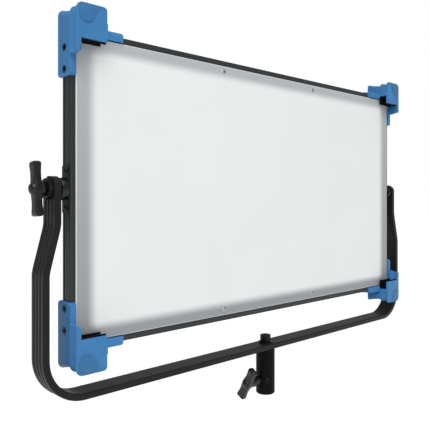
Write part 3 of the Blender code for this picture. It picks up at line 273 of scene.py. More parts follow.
def opal_finish(settings):
    """Diffusing sheet: white in the middle, with a soft painted shade where the tray's walls stand behind it,
    that painted shade darker towards the bottom, and a painted light line along the sheet's very edge.
    """
    tints = settings.colours
    made = bpy.data.materials.new("opal_sheet")
    made.use_nodes = True
    tree = made.node_tree
    shader = tree.nodes["Principled BSDF"]
    place = tree.nodes.new("ShaderNodeTexCoord").outputs["Object"]
    parts = tree.nodes.new("ShaderNodeSeparateXYZ")
    tree.links.new(place, parts.inputs["Vector"])
    half_x, half_z = HALF_WIDTH - SHEET_INSET_SIDE, HALF_HEIGHT - SHEET_INSET_TOP
    across = maths(tree, "ABSOLUTE", parts.outputs["X"])
    up = maths(tree, "SUBTRACT", parts.outputs["Z"], TILT_HEIGHT)
    tall = maths(tree, "ABSOLUTE", up)
    # Painted shade: a soft grey border on the sheet where the tray's walls stand behind it.
    near_x = remap(tree, across, half_x - tints.shade_side, half_x - tints.shade_side * 0.40, 0.0, 1.0)
    near_z = remap(tree, tall, half_z - tints.shade_top, half_z - tints.shade_top * 0.36, 0.0, 1.0)
    squares = maths(tree, "ADD", maths(tree, "POWER", near_x, 2.0), maths(tree, "POWER", near_z, 2.0))
    reached = maths(tree, "MINIMUM", maths(tree, "SQRT", squares), 1.0)
    soft = maths(tree, "MULTIPLY", maths(tree, "MULTIPLY", reached, reached),
                 maths(tree, "SUBTRACT", 3.0, maths(tree, "MULTIPLY", reached, 2.0)))
    # Painted light: a thin line along the sheet's very edge, lighter than the painted shade beside it.
    painted_edge_light_x = remap(tree, across, half_x - 0.0012, half_x - 0.0004, 0.0, 1.0)
    painted_edge_light_z = remap(tree, tall, half_z - 0.0012, half_z - 0.0004, 0.0, 1.0)
    rim = maths(tree, "MAXIMUM", painted_edge_light_x, painted_edge_light_z)
    # Painted shade: the grey border is painted darker towards the bottom and lighter towards the top.
    painted_shade_by_height = remap(tree, up, -half_z, half_z, 0.92, 1.34)
    border = tree.nodes.new("ShaderNodeMix")
    border.data_type = "RGBA"
    border.blend_type = "MULTIPLY"
    border.inputs[0].default_value = 1.0
    border.inputs[6].default_value = (*tints.opal_painted_shade, 1.0)
    grey = tree.nodes.new("ShaderNodeCombineColor")
    for socket in grey.inputs[:3]:
        tree.links.new(painted_shade_by_height, socket)
    tree.links.new(grey.outputs[0], border.inputs[7])
    haze = remap(tree, noise(tree, place, 0.09, 2.0), 0.3, 0.7, 0.0, 1.0)
    middle = blend_colours(tree, haze, shade_of(tints.opal, 0.985), shade_of(tints.opal, 1.01))
    shaded = blend_colours(tree, soft, middle, border.outputs[2])
    shaded = blend_colours(tree, rim, shaded, shade_of(tints.opal, 0.86))
    tree.links.new(shaded, shader.inputs["Base Color"])
    frost = noise(tree, place, 0.0008, 2.0)
    tree.links.new(remap(tree, frost, 0.3, 0.7, 0.46, 0.58), shader.inputs["Roughness"])
    shader.inputs["Specular IOR Level"].default_value = 0.25
    bump(tree, shader, frost, 0.06, 0.0001)
    return made


def board_finish(settings):
    """Solder mask with fine tracks."""
    made = finish("board_mask", settings.colours.board, 0.38, 0.0, 0.02, 0.18, 0.0008, 0.15)
    tree = made.node_tree
    shader = tree.nodes["Principled BSDF"]
    place = tree.nodes.new("ShaderNodeTexCoord").outputs["Object"]
    tracks = tree.nodes.new("ShaderNodeTexBrick")
    tracks.inputs["Scale"].default_value = 90.0
    tracks.inputs["Mortar Size"].default_value = 0.03
    tracks.inputs["Color1"].default_value = (*settings.colours.board, 1.0)
    tracks.inputs["Color2"].default_value = (*shade_of(settings.colours.board, 0.8), 1.0)
    tracks.inputs["Mortar"].default_value = (*shade_of(settings.colours.board, 1.9), 1.0)
    turned = tree.nodes.new("ShaderNodeMapping")
    turned.inputs["Rotation"].default_value = (radians(90), 0.0, 0.0)
    tree.links.new(place, turned.inputs["Vector"])
    tree.links.new(turned.outputs["Vector"], tracks.inputs["Vector"])
    tree.links.new(tracks.outputs["Color"], shader.inputs["Base Color"])
    return made


# Colour's name, roughness, metal, cloud, swing, grain, relief, then anything else
RECIPES = {
    "blue": ("block_blue", 0.42, 0.0, 0.05, 0.05, 0.0005, 0.25,
             {"wear": 0.35, "rough_swing": 0.05, "specular": 0.22}),
    "upright": ("anodised", 0.42, 0.0, 0.06, 0.12, 0.0005, 0.35,
                {"stretch": (1.0, 1.0, 0.02), "wear": 0.8, "specular": 0.3}),
    "level": ("anodised", 0.42, 0.0, 0.06, 0.12, 0.0005, 0.35,
              {"stretch": (0.02, 1.0, 1.0), "wear": 0.8, "specular": 0.3}),
    "yoke": ("yoke_black", 0.42, 0.0, 0.05, 0.14, 0.0006, 0.30,
             {"wear": 0.5, "rough_swing": 0.07, "specular": 0.18}),
    "powder": ("powder", 0.46, 0.0, 0.05, 0.12, 0.0009, 0.55, {"wear": 0.3, "specular": 0.07}),
    "nylon": ("moulded", 0.33, 0.0, 0.03, 0.12, 0.0006, 0.35, {"wear": 0.8, "specular": 0.42}),
    "rubber": ("rubber", 0.72, 0.0, 0.02, 0.15, 0.0005, 0.35, {"specular": 0.1}),
    "steel": ("steel", 0.28, 1.0, 0.006, 0.10, 0.0003, 0.20, {"rough_swing": 0.08}),
    "dark_steel": ("dark_steel", 0.33, 0.0, 0.006, 0.15, 0.0004, 0.20, {"wear": 0.5, "specular": 0.2}),
    "sink": ("sink", 0.42, 0.5, 0.05, 0.10, 0.0006, 0.30, {"stretch": (1.0, 1.0, 0.03)}),
    "tray": ("tray", 0.60, 0.0, 0.05, 0.02, 0.0007, 0.15, {}),
    "supply": ("supply", 0.34, 1.0, 0.05, 0.06, 0.0004, 0.30, {"stretch": (0.03, 1.0, 1.0)}),
    "glass": ("glass", 0.10, 0.0, 0.03, 0.10, 0.002, 0.02, {"rough_swing": 0.04, "coat": 0.6}),
}
MADE = {}


def surface(name):
    """The named finish, made the first time it is asked for."""
    if name not in MADE:
        settings = bpy.context.scene.soft_panel
        if name == "opal":
            MADE[name] = opal_finish(settings)
        elif name == "board":
            MADE[name] = board_finish(settings)
        else:
            tint, roughness, metal, cloud, swing, grain, relief, more = RECIPES[name]
            MADE[name] = finish(name, getattr(settings.colours, tint), roughness, metal, cloud, swing, grain,
                                relief, **more)
    return MADE[name]


def refinish(node, name, edge=0.0):
    """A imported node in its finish, with its edges eased."""
    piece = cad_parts[node]
    if not piece.material_slots:
        piece.data.materials.append(surface(name))
    for held in piece.material_slots:
        held.material = surface(name)
    if edge:
        eased = piece.modifiers.new("eased", "BEVEL")
        eased.width = edge
        eased.segments = 2
        eased.limit_method = "ANGLE"
        eased.angle_limit = radians(35)
        eased.harden_normals = True


# Shapes

def as_piece(name, shape, finish_name, smooth=32.0):
    bmesh.ops.recalc_face_normals(shape, faces=shape.faces)
    mesh = bpy.data.meshes.new(name)
    shape.to_mesh(mesh)
    shape.free()
    if finish_name:
        mesh.materials.append(surface(finish_name))
    mesh.shade_smooth()
    mesh.set_sharp_from_angle(angle=radians(smooth))
    piece = bpy.data.objects.new(name, mesh)
    bpy.context.scene.collection.objects.link(piece)
    return piece


def settle(piece, body, slot, *nodes):
    if nodes:
        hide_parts(*nodes)
    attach(piece, body)
    return piece


def even(piece):
    """Shading that keeps broad faces flat beside their rounded edges."""
    step = piece.modifiers.new("even", "WEIGHTED_NORMAL")
    step.weight = 80
    step.keep_sharp = True


def fixed(piece, smooth=32.0):
    """The piece with its modifiers made part of its mesh."""
    bpy.context.view_layer.update()
    seen = piece.evaluated_get(bpy.context.evaluated_depsgraph_get())
    mesh = bpy.data.meshes.new_from_object(seen)
    mesh.name = piece.name
    piece.modifiers.clear()
    piece.data = mesh
    mesh.shade_smooth()
    mesh.set_sharp_from_angle(angle=radians(smooth))
    if not mesh.polygons:
        raise RuntimeError(piece.name + " came out empty")
    return piece


def check_within(piece, name):
    """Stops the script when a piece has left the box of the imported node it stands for."""
    low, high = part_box(name)
    for vert in piece.data.vertices:
        place = piece.matrix_world @ vert.co
        if any(place[axis] < low[axis] - 0.001 or place[axis] > high[axis] + 0.001 for axis in range(3)):
            raise RuntimeError(piece.name + " lies outside " + name)


def cut(piece, tool, operation="DIFFERENCE"):
    step = piece.modifiers.new("cut", "BOOLEAN")
    step.operation = operation
    step.object = tool
    fixed(piece)
    bpy.data.objects.remove(tool, do_unlink=True)


def ease(piece, width, segments=3, angle=35.0):
    step = piece.modifiers.new("ease", "BEVEL")
    step.width = width
    step.segments = segments
    step.limit_method = "ANGLE"
    step.angle_limit = radians(angle)
    step.use_clamp_overlap = True
    fixed(piece)


def loft(shape, rings):
    """Quads between rings of points, with a face over each end."""
    made = [[shape.verts.new(point) for point in ring] for ring in rings]
    count = len(made[0])
    for first, second in zip(made, made[1:]):
        for index in range(count):
            after = (index + 1) % count
            shape.faces.new((first[index], first[after], second[after], second[index]))
    shape.faces.new(made[0])
    shape.faces.new(made[-1])
    return shape


def turned(shape, profile, matrix, sides=64, radial=None):
    """Radius and height pairs turned about Z. radial(angle, radius, index) can reshape a ring."""
    rings = []
    for index, (radius, height) in enumerate(profile):
        ring = []
        for step in range(sides):
            angle = 2 * pi * step / sides
            reach = radial(angle, radius, index) if radial else radius
            ring.append(matrix @ Vector((reach * cos(angle), reach * sin(angle), height)))
        rings.append(ring)
    return loft(shape, rings)


def turned_ring(profile, sides):
    """A closed profile with a hole through its middle, turned about Z."""
    shape = bmesh.new()
    angles = [2 * pi * step / sides for step in range(sides)]
    rings = [[shape.verts.new((radius * cos(angle), radius * sin(angle), height)) for angle in angles]
             for radius, height in profile]
    for first, second in zip(rings, rings[1:] + rings[:1]):
        for step in range(sides):
            after = (step + 1) % sides
            shape.faces.new((first[step], first[after], second[after], second[step]))
    return shape


def fillet(before, corner, after, radius, steps):
    corner, before, after = Vector(corner), Vector(before), Vector(after)
    first, second = (before - corner).normalized(), (after - corner).normalized()
    half = first.angle(second) / 2
    centre = corner + (first + second).normalized() * (radius / sin(half))
    start = corner + first * (radius / tan(half)) - centre
    end = corner + second * (radius / tan(half)) - centre
    begin = atan2(start.y, start.x)
    sweep = (atan2(end.y, end.x) - begin + pi) % (2 * pi) - pi
    angles = [begin + sweep * step / steps for step in range(steps + 1)]
    return [(centre.x + radius * cos(angle), centre.y + radius * sin(angle)) for angle in angles]


def outline(corners, steps=6, closed=True):
    """Points of an outline whose corners are (x, y) or (x, y, radius)."""
    points, count = [], len(corners)
    for index, corner in enumerate(corners):
        if len(corner) == 2 or (not closed and index in (0, count - 1)):
            points.append(tuple(corner[:2]))
            continue
        after = corners[(index + 1) % count]
        points.extend(fillet(corners[index - 1][:2], corner[:2], after[:2], corner[2], steps))
    return points


def block(low, high):
    shape = bmesh.new()
    low, high = Vector(low), Vector(high)
    bmesh.ops.create_cube(shape, size=1.0, matrix=Matrix.Translation((low + high) / 2)
                          @ Matrix.Diagonal((*(high - low), 1.0)))
    return as_piece("tool", shape, None)


def rod_tool(radius, start, end, matrix, sides=48):
    shape = bmesh.new()
    turned(shape, [(radius, start), (radius, end)], matrix, sides)
    return as_piece("tool", shape, None)


def hexagon(angle, across):
    """Reach of a hexagon at an angle, across its flats' half width."""
    turn = (angle + pi / 6) % (pi / 3) - pi / 6
    return across / cos(turn)


def socket_screw(shape, matrix, radius, height, key, dome=0.35, knurl=0.0, sides=72):
    """A screw head with a six-sided socket; heights run up from its seat."""
    profile = [(radius * 0.96, 0.0), (radius, height * 0.08), (radius, height * (0.98 - dome)),
               (radius * 0.985, height * (1.0 - dome * 0.75)), (radius * 0.93, height * (1.0 - dome * 0.35)),
               (radius * 0.82, height * (1.0 - dome * 0.08)), (radius * 0.70, height),
               (key * 1.12, height), (key, height * 0.94), (key, height * 0.45), (key * 0.5, height * 0.38)]

    def shaped(angle, reach, index):
        if index >= 7:
            return hexagon(angle, reach)
        if knurl and 1 <= index <= 2:
            return reach - knurl * (0.5 + 0.5 * cos(angle * 36))
        return reach

    return turned(shape, profile, matrix, sides, shaped)


# Corner blocks

# Depth behind the frame's front, then how far the skin lies inside the side and the roof
SKIN = (
    (0.0205, 0.0012, 0.0016), (0.0200, 0.0004, 0.0009), (0.0192, 0.0001, 0.0006),
    (0.0150, 0.0, 0.0018), (0.0120, 0.0, 0.0026), (0.0080, 0.0001, 0.0034),
    (0.0040, 0.0003, 0.0040), (-0.0005, 0.0007, 0.0045), (-0.0026, 0.0014, 0.0047),
    (-0.0040, 0.0021, 0.0048), (-0.00515, 0.0020, 0.0042), (-0.00565, 0.0009, 0.0028),
    (-0.0064, 0.0002, 0.0019), (-0.0072, 0.0, 0.0017), (-0.0095, 0.0001, 0.0021),
    (-0.0125, 0.0008, 0.0028), (-0.0150, 0.0017, 0.0034), (-0.0168, 0.0021, 0.0037),
    (-0.0178, 0.0016, 0.0030), (-0.0184, 0.0005, 0.0010), (-0.0192, 0.0001, 0.0002),
    (-0.0200, 0.0, 0.0), (-0.0210, 0.0001, 0.0001), (-0.0216, 0.0004, 0.0004),
    (-0.0220, 0.0010, 0.0010))


def corner_block_mesh(size):
    """One block in corner terms: in from the frame's side, behind its front, down from its top."""
    rings = []
    for depth, side, top in SKIN:
        near = max(0.0, size.lug_round - depth - size.front)
        inset = size.lug_round - sqrt(max(0.0, size.lug_round ** 2 - near ** 2))
        left, roof, lug = side - size.wall, top - size.rise, size.lug_width - max(side * 0.5, inset)
        ledge = top * 0.5 - size.top_wall
        foot, tip = size.side_drop - side, size.top_reach - side
        corners = [(left, foot, size.end_radius), (left, roof, size.outer_radius),
                   (lug, roof, size.inner_radius), (lug, ledge), (tip, ledge, size.end_radius),
                   (tip, size.leg), (lug, size.leg), (lug, size.lug_drop),
                   (size.leg, size.lug_drop), (size.leg, foot)]
        rings.append([(u, depth, v) for u, v in outline(corners, 7)])
    piece = as_piece("corner_block", loft(bmesh.new(), rings), "blue")
    slant = bmesh.new()
    ahead = -size.front - 0.002
    side_view = [(ahead, size.arm_drop), (-size.seat, size.arm_drop + 0.0032), (-size.seat, FAR),
                 (ahead, FAR)]
    loft(slant, [[(u, w, v) for w, v in side_view] for u in (-0.05, FAR)])
    cut(piece, as_piece("tool", slant, None))
    slot_front = size.lip - size.front
    cuts = (((-CLEAR, -CLEAR, -CLEAR), (FAR, FRAME_DEPTH + CLEAR, FAR)),
            ((0.0048, -size.seat - 0.001, 0.0068), (FAR, -CLEAR, FAR)),
            ((0.0057, -0.001, 0.0077), (FAR, 0.001, FAR)),
            ((0.0005, slot_front, 0.002), (FAR, -size.seat, FAR)),
            ((size.arm_width, -FAR, size.lug_drop), (FAR, -size.seat, FAR)),
            ((size.lug_width, -FAR, -FAR), (FAR, -size.seat, FAR)),
            ((size.leg, 0.0, size.leg), (FAR, FAR, FAR)))
    for low, high in cuts:
        cut(piece, block(low, high))
    ease(piece, size.edge, 2)
    facing = Matrix.Rotation(pi / 2, 4, "Y")
    floor = size.screw_height + 2 * CLEAR - size.wall
    for drop in (size.screw_upper, size.screw_lower):
        at = Matrix.Translation((0.0, size.screw_depth, drop)) @ facing
        cut(piece, rod_tool(size.screw_radius + CLEAR, -0.02, floor, at))
    dome = bmesh.new()
    radius, height = size.boss_radius, size.boss_height
    profile = [(radius * part, height * rise) for part, rise in (
        (1.0, -0.7), (1.0, 0.32), (0.985, 0.46), (0.95, 0.54), (0.80, 0.70), (0.6, 0.84), (0.35, 0.95),
        (0.12, 0.995), (0.02, 1.0))]
    centre = (size.boss_inset - size.wall, -size.front, size.boss_drop - size.rise)
    turned(dome, profile, Matrix.Translation(centre) @ Matrix.Rotation(pi / 2, 4, "X"))
    cut(piece, as_piece("tool", dome, None), "UNION")
    mesh = piece.data.copy()
    bpy.data.objects.remove(piece, do_unlink=True)
    return mesh


def corner_place(sides):
    """From corner terms to the light's own frame."""
    across, up = sides
    return Matrix(((-across, 0, 0, across * HALF_WIDTH), (0, 1, 0, FRAME_FRONT),
                   (0, 0, -up, TILT_HEIGHT + up * HALF_HEIGHT), (0, 0, 0, 1)))


class SOFTPANEL_OT_corner_blocks(bpy.types.Operator):
    """Four moulded corner blocks with lugs, valleys and bosses."""
    bl_idname = "soft_panel.corner_blocks"
    bl_label = "Corner blocks"

    def execute(self, context):
        size = context.scene.soft_panel.corner
        first = corner_block_mesh(size)
        for word, sides in CORNERS.items():
            mesh = first.copy()
            matrix = corner_place(sides)
            mesh.transform(matrix)
            if matrix.determinant() < 0:
                mesh.flip_normals()
            piece = bpy.data.objects.new("corner_block_" + word, mesh)
            context.scene.collection.objects.link(piece)
            check_within(piece, "bracket_" + word)
            even(piece)
            settle(piece, "panel", "blue_plastic", "bracket_" + word)
            refinish("slot_liner_" + word, "rubber", 0.0002)
        return {"FINISHED"}


class SOFTPANEL_OT_corner_screws(bpy.types.Operator):
    """Socket screws in the blocks' sides."""
    bl_idname = "soft_panel.corner_screws"
    bl_label = "Corner screws"

    def execute(self, context):
        size = context.scene.soft_panel.corner
        seat = HALF_WIDTH + size.wall - size.screw_height - CLEAR
        for word, (across, up) in CORNERS.items():
            for index, drop in enumerate((size.screw_upper, size.screw_lower), 1):
                at = Matrix.Translation((across * seat, FRAME_FRONT + size.screw_depth,
                                         TILT_HEIGHT + up * (HALF_HEIGHT - drop)))
                shape = socket_screw(bmesh.new(), at @ Matrix.Rotation(across * pi / 2, 4, "Y"),
                                     size.screw_radius * 0.97, size.screw_height, size.screw_radius * 0.42)
                piece = as_piece(f"corner_screw_{word}_{index}", shape, "dark_steel")
                settle(piece, "panel", "black_steel", f"bracket_screw_{word}_{index}")
        return {"FINISHED"}


# Frame, sheet and light engine

class SOFTPANEL_OT_frame_rails(bpy.types.Operator):
    """Grooved, anodised rails with eased edges."""
    bl_idname = "soft_panel.frame_rails"
    bl_label = "Frame rails"

    def execute(self, context):
        for word, name in (("top", "level"), ("bottom", "level"), ("left", "upright"), ("right", "upright")):
            refinish("rail_" + word, name, 0.00025)
        return {"FINISHED"}


class SOFTPANEL_OT_diffuser(bpy.types.Operator):
    """Opal sheet and its four small screws."""
    bl_idname = "soft_panel.diffuser"
    bl_label = "Diffuser"

    def execute(self, context):
        refinish("diffuser", "opal")
        for word in CORNERS:
            low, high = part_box("diffuser_screw_" + word)
            centre = (low + high) / 2
            at = Matrix.Translation((centre.x, high.y, centre.z)) @ Matrix.Rotation(pi / 2, 4, "X")
            radius, height = (high.x - low.x) / 2, high.y - low.y
            shape = socket_screw(bmesh.new(), at, radius, height, radius * 0.42)
            piece = as_piece("sheet_screw_" + word, shape, "steel")
            settle(piece, "panel", "steel", "diffuser_screw_" + word)
        return {"FINISHED"}


class SOFTPANEL_OT_light_engine(bpy.types.Operator):
    """White tray, boards and finned heat sink."""
    bl_idname = "soft_panel.light_engine"
    bl_label = "Light engine"

    def execute(self, context):
        refinish("light_tray", "tray")
        refinish("led_board_1", "board")
        refinish("led_board_2", "board")
        refinish("heat_sink", "sink", 0.0003)
        return {"FINISHED"}


# Yoke and its fittings

def yoke_profile(size):
    """Points of the bar's section: how far outwards, and where across."""
    half_width, half_thick, edge = size.width / 2, size.thickness / 2, size.edge
    points = []
    for corner_x, corner_y, start in ((half_thick, half_width, 0), (-half_thick, half_width, 1),
                                      (-half_thick, -half_width, 2), (half_thick, -half_width, 3)):
        inner_x = corner_x - edge * (1 if corner_x > 0 else -1)
        inner_y = corner_y - edge * (1 if corner_y > 0 else -1)
        for step in range(5):
            angle = start * pi / 2 + pi / 8 * step
            points.append((inner_x + edge * cos(angle), inner_y + edge * sin(angle)))
    span = half_width - edge
    count = 96
    for step in range(1, count):
        across = -span + 2 * span * step / count
        dip = 0.0
        for middle in (-size.groove_pitch, 0.0, size.groove_pitch):
            away = abs(across - middle) / (size.groove_width / 2)
            if away < 1.0:
                dip = size.groove_depth * (1.0 - away ** 4) ** 0.75
        points.append((half_thick - dip, across))
    return points


class SOFTPANEL_OT_yoke(bpy.types.Operator):
    """Bent bar with three grooves along its outer face and round ends."""
    bl_idname = "soft_panel.yoke"
    bl_label = "Yoke"

    def execute(self, context):
        size = context.scene.soft_panel.yoke
        top = TILT_HEIGHT + size.width / 2 + 0.004
        jog_start = TILT_HEIGHT - size.jog_start
        low_arm = size.arm + size.jog
        left = [(-size.arm, top), (-size.arm, jog_start, size.jog_radius),
                (-low_arm, jog_start - size.jog_length, size.jog_radius),
                (-low_arm, size.bar_height, size.corner_radius)]
        right = [(-corner[0], *corner[1:]) for corner in reversed(left)]
        path = [Vector(point) for point in outline(left + right, 16, closed=False)]
        profile = yoke_profile(size)
        rings = []
        for index, point in enumerate(path):
            before, after = path[max(0, index - 1)], path[min(len(path) - 1, index + 1)]
            along = (after - before).normalized()
            out = Vector((along.y, -along.x))
            rings.append([(point.x + out.x * reach, across, point.y + out.y * reach)
                          for reach, across in profile])
        piece = as_piece("yoke", loft(bmesh.new(), rings), "yoke")
        half = size.width / 2
        side = outline([(half, TILT_HEIGHT + half, half - CLEAR), (-half, TILT_HEIGHT + half, half - CLEAR),
                        (-half - 0.004, -0.01), (half + 0.004, -0.01)], 24)
        ends = bmesh.new()
        loft(ends, [[(x, y, z) for y, z in side] for x in (-0.4, 0.4)])
        cut(piece, as_piece("tool", ends, None), "INTERSECT")
        facing = Matrix.Translation((0, 0, TILT_HEIGHT)) @ Matrix.Rotation(pi / 2, 4, "Y")
        cut(piece, rod_tool(TILT_BORE, -0.40, 0.40, facing))
        cut(piece, rod_tool(CAP_SCREW_BORE, 0.06, 0.08, Matrix.Identity(4)))
        even(piece)
        settle(piece, "yoke", "black_anodised", "yoke_bar")
        return {"FINISHED"}


def side_turned(name, node, body, slot, finish_name, profile, x_start, direction):
    """A piece turned about the tilt axis; heights run outwards from x_start."""
    at = (Matrix.Translation((x_start, 0, TILT_HEIGHT)) @ Matrix.Rotation(direction * pi / 2, 4, "Y"))
    settle(as_piece(name, turned(bmesh.new(), profile, at), finish_name), body, slot, node)


class SOFTPANEL_OT_tilt_fittings(bpy.types.Operator):
    """Plates, bushes, washers, stud, collar and bolt of the tilt pivots."""
    bl_idname = "soft_panel.tilt_fittings"
    bl_label = "Tilt fittings"

    def execute(self, context):
        for word, side in (("left", -1), ("right", 1)):
            refinish("pivot_plate_" + word, "yoke", 0.0003)
            refinish("friction_washer_" + word, "rubber")
            low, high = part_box("pivot_bush_" + word)
            radius, reach = (high.z - low.z) / 2, high.x - low.x
            start = low.x if side > 0 else high.x
            rim = reach * 0.08
            profile = [(0.0055, 0.0), (radius - rim, 0.0), (radius - rim * 0.3, rim * 0.3), (radius, rim),
                       (radius, reach - rim), (radius - rim * 0.3, reach - rim * 0.3), (radius - rim, reach),
                       (0.0055, reach), (0.0053, reach * 0.9), (0.0053, reach * 0.1)]
            side_turned("bush_" + word, "pivot_bush_" + word, "panel", "black_plastic", "nylon", profile,
                        start, side)
            for end in ("upper", "lower"):
                node = f"pivot_screw_{word}_{end}"
                low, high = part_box(node)
                radius = (high.z - low.z) / 2
                height = high.x - low.x
                outside = low.x if side < 0 else high.x
                at = Matrix.Translation((outside - side * height, (low.y + high.y) / 2, (low.z + high.z) / 2))
                shape = socket_screw(bmesh.new(), at @ Matrix.Rotation(side * pi / 2, 4, "Y"), radius, height,
                                     radius * 0.42)
                piece = as_piece(f"plate_screw_{word}_{end}", shape, "dark_steel")
                settle(piece, "panel", "black_steel", node)
        refinish("tilt_stud", "steel", 0.0004)
        refinish("pivot_washer", "steel", 0.0002)
        refinish("tilt_collar", "dark_steel", 0.00015)
        low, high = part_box("pivot_bolt")
        radius, base = (high.z - low.z) / 2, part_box("pivot_washer")[1].x + CLEAR
        at = Matrix.Translation((base, 0, TILT_HEIGHT)) @ Matrix.Rotation(pi / 2, 4, "Y")
        shape = socket_screw(bmesh.new(), at, radius, high.x - base, radius * 0.36, dome=0.75)
        turned(shape, [(0.0049, low.x - base), (0.0049, 0.0)], at)
        settle(as_piece("tilt_bolt", shape, "dark_steel"), "panel", "black_steel", "pivot_bolt")
        return {"FINISHED"}


class SOFTPANEL_OT_receiver(bpy.types.Operator):
    """Stand receiver, its cap screw and washer, and the set screw."""
    bl_idname = "soft_panel.receiver"
    bl_label = "Receiver"

    def execute(self, context):
        low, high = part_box("socket_receiver")
        radius, top = high.x, high.z
        profile = [(STAND_BORE, 0.0), (radius - 0.0018, 0.0), (radius - 0.0015, 0.00006),
                   (radius - 0.0002, 0.0013), (radius, 0.0017), (radius, top - 0.0006),
                   (radius - 0.0002, top - 0.0002), (radius - 0.0006, top), (0.003, top), (0.003, 0.041),
                   (0.0076, 0.0405), (STAND_BORE, STAND_BORE_DEPTH)]
        piece = as_piece("receiver", turned_ring(profile, 96), "powder")
        level = (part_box("socket_knob")[0].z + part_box("socket_knob")[1].z) / 2
        for angle in (0.0, SET_SCREW_TURN):
            at = (Matrix.Translation((0, 0, level)) @ Matrix.Rotation(angle, 4, "Z")
                  @ Matrix.Rotation(-pi / 2, 4, "Y"))
            cut(piece, rod_tool(CLAMP_BORE, 0.004, 0.02, at))
        even(piece)
        settle(piece, "yoke", "black_paint", "socket_receiver")
        refinish("socket_bolt_washer", "dark_steel", 0.0002)
        refinish("socket_set_screw", "dark_steel", 0.0003)
        refinish("socket_clamp_screw", "steel", 0.0003)
        low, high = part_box("socket_bolt")
        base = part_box("socket_bolt_washer")[1].z + CLEAR
        shape = socket_screw(bmesh.new(), Matrix.Translation((0, 0, base)), high.x, high.z - base,
                             high.x * 0.46, dome=0.10, knurl=0.00025, sides=144)
        settle(as_piece("cap_screw", shape, "dark_steel"), "yoke", "black_steel", "socket_bolt")
        return {"FINISHED"}


# Handles

def handle_bar(shape, matrix, reach, thick, waist, hub):
    """A T-handle's bar along its own Y, thick in Z: flared rounded ends and a swelling over the hub."""
    rings, stations, sides = [], 44, 40
    for index in range(stations + 1):
        place = -1.0 + 2.0 * index / stations
        away = abs(place)
        flare = 1.0 / (1.0 + exp(-(away - 0.72) * 12.0))
        swell = exp(-(place / 0.30) ** 2)
        wide = waist[0] + (waist[1] - waist[0]) * flare + (hub - waist[0]) * swell
        deep = thick[0] + (thick[1] - thick[0]) * flare + thick[0] * 0.12 * swell
        tip = max(0.0, (away - 0.90) / 0.10)
        close = sqrt(max(0.0, 1.0 - tip ** 2.6))
        wide, deep = wide * (0.72 + 0.28 * close), deep * (0.72 + 0.28 * close)
        ring = []
        for step in range(sides):
            angle = 2 * pi * step / sides
            c, s = cos(angle), sin(angle)
            across = abs(c) ** 0.38 * (1 if c >= 0 else -1) * wide
            up = abs(s) ** 0.38 * (1 if s >= 0 else -1) * deep
            ring.append(matrix @ Vector((across, place * reach, up)))
        rings.append(ring)
    return loft(shape, rings)


def handle(name, node, span, turn, axis_height, stub):
    """A T-handle facing -X, filling its node's box along X."""
    low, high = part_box(node)
    tilting = node == "tilt_knob"
    hub = 0.0076 if tilting else 0.0074
    bar_middle = low.x + (0.0082 if tilting else 0.0074)
    bar = (Matrix.Translation((bar_middle, 0, axis_height)) @ Matrix.Rotation(turn, 4, "X")
           @ Matrix(((0, 0, -1, 0), (1, 0, 0, 0), (0, 1, 0, 0), (0, 0, 0, 1))))
    shape = bmesh.new()
    handle_bar(shape, bar, span / 2, (0.0040, 0.0046), (0.0059, 0.0070), hub)
    facing = Matrix.Translation((low.x, 0, axis_height)) @ Matrix.Rotation(pi / 2, 4, "Y")
    total = high.x - low.x
    profile = [(hub * 0.05, 0.0), (hub * 0.35, 0.0003), (hub * 0.62, 0.0011), (hub * 0.80, 0.0024),
               (hub * 0.90, 0.0042), (hub * 0.95, 0.0065), (hub * 0.97, total * 0.6), (hub, total * 0.72),
               (hub, total - 0.0006), (hub - 0.0005, total), (stub, total)]
    turned(shape, profile, facing)
    piece = as_piece(name, shape, "nylon", 40)
    return settle(piece, node, "black_plastic", node)


class SOFTPANEL_OT_handles(bpy.types.Operator):
    """T-handles of the tilt lock and of the stand socket."""
    bl_idname = "soft_panel.handles"
    bl_label = "Handles"

    def execute(self, context):
        size = context.scene.soft_panel.handle
        low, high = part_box("socket_knob")
        handle("tilt_handle", "tilt_knob", size.tilt_length, size.tilt_turn, TILT_HEIGHT, TILT_BORE)
        handle("socket_handle", "socket_knob", size.socket_length, size.socket_turn, (low.z + high.z) / 2,
               CLAMP_BORE)
        return {"FINISHED"}


# Rear housing and controls

class SOFTPANEL_OT_housing(bpy.types.Operator):
    """Rear housing with its lid screws, display, supply and control board."""
    bl_idname = "soft_panel.housing"
    bl_label = "Rear housing"

    def execute(self, context):
        refinish("rear_housing", "powder")
        refinish("display_window", "glass", 0.0003)
        refinish("power_supply", "supply", 0.0006)
        refinish("control_board", "board", 0.0002)
        low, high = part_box("rear_housing")
        shape = bmesh.new()
        for x in (low.x + 0.009, 0.0, high.x - 0.009):
            for z in (low.z + 0.009, high.z - 0.009):
                at = Matrix.Translation((x, high.y - 0.0002, z)) @ Matrix.Rotation(-pi / 2, 4, "X")
                socket_screw(shape, at, 0.0028, 0.0015, 0.0012)
        settle(as_piece("lid_screws", shape, "dark_steel"), "panel", "black_steel")
        return {"FINISHED"}


class SOFTPANEL_OT_controls(bpy.types.Operator):
    """Dials, switch and connectors with their pins."""
    bl_idname = "soft_panel.controls"
    bl_label = "Controls"

    def execute(self, context):
        for node in ("dimmer_dial", "colour_dial"):
            refinish(node, "nylon", 0.0002)
        refinish("power_switch", "nylon", 0.0003)
        for node, pins, ring in (("power_inlet", 3, 0.0048), ("data_socket", 5, 0.0042)):
            refinish(node, "nylon", 0.0003)
            low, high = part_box(node)
            centre = (low + high) / 2
            floor = high.y - 0.0126
            shape = bmesh.new()
            for index in range(pins):
                angle = 2 * pi * index / pins + pi / 2
                at = (Matrix.Translation((centre.x + ring * cos(angle), floor - 0.0005,
                                          centre.z + ring * sin(angle))) @ Matrix.Rotation(-pi / 2, 4, "X"))
                turned(shape, [(0.0008, 0.0), (0.0008, 0.0062), (0.0006, 0.0068), (0.0002, 0.0071)], at, 20)
            settle(as_piece(node + "_pins", shape, "steel"), "panel", "steel")
        return {"FINISHED"}


# Studio

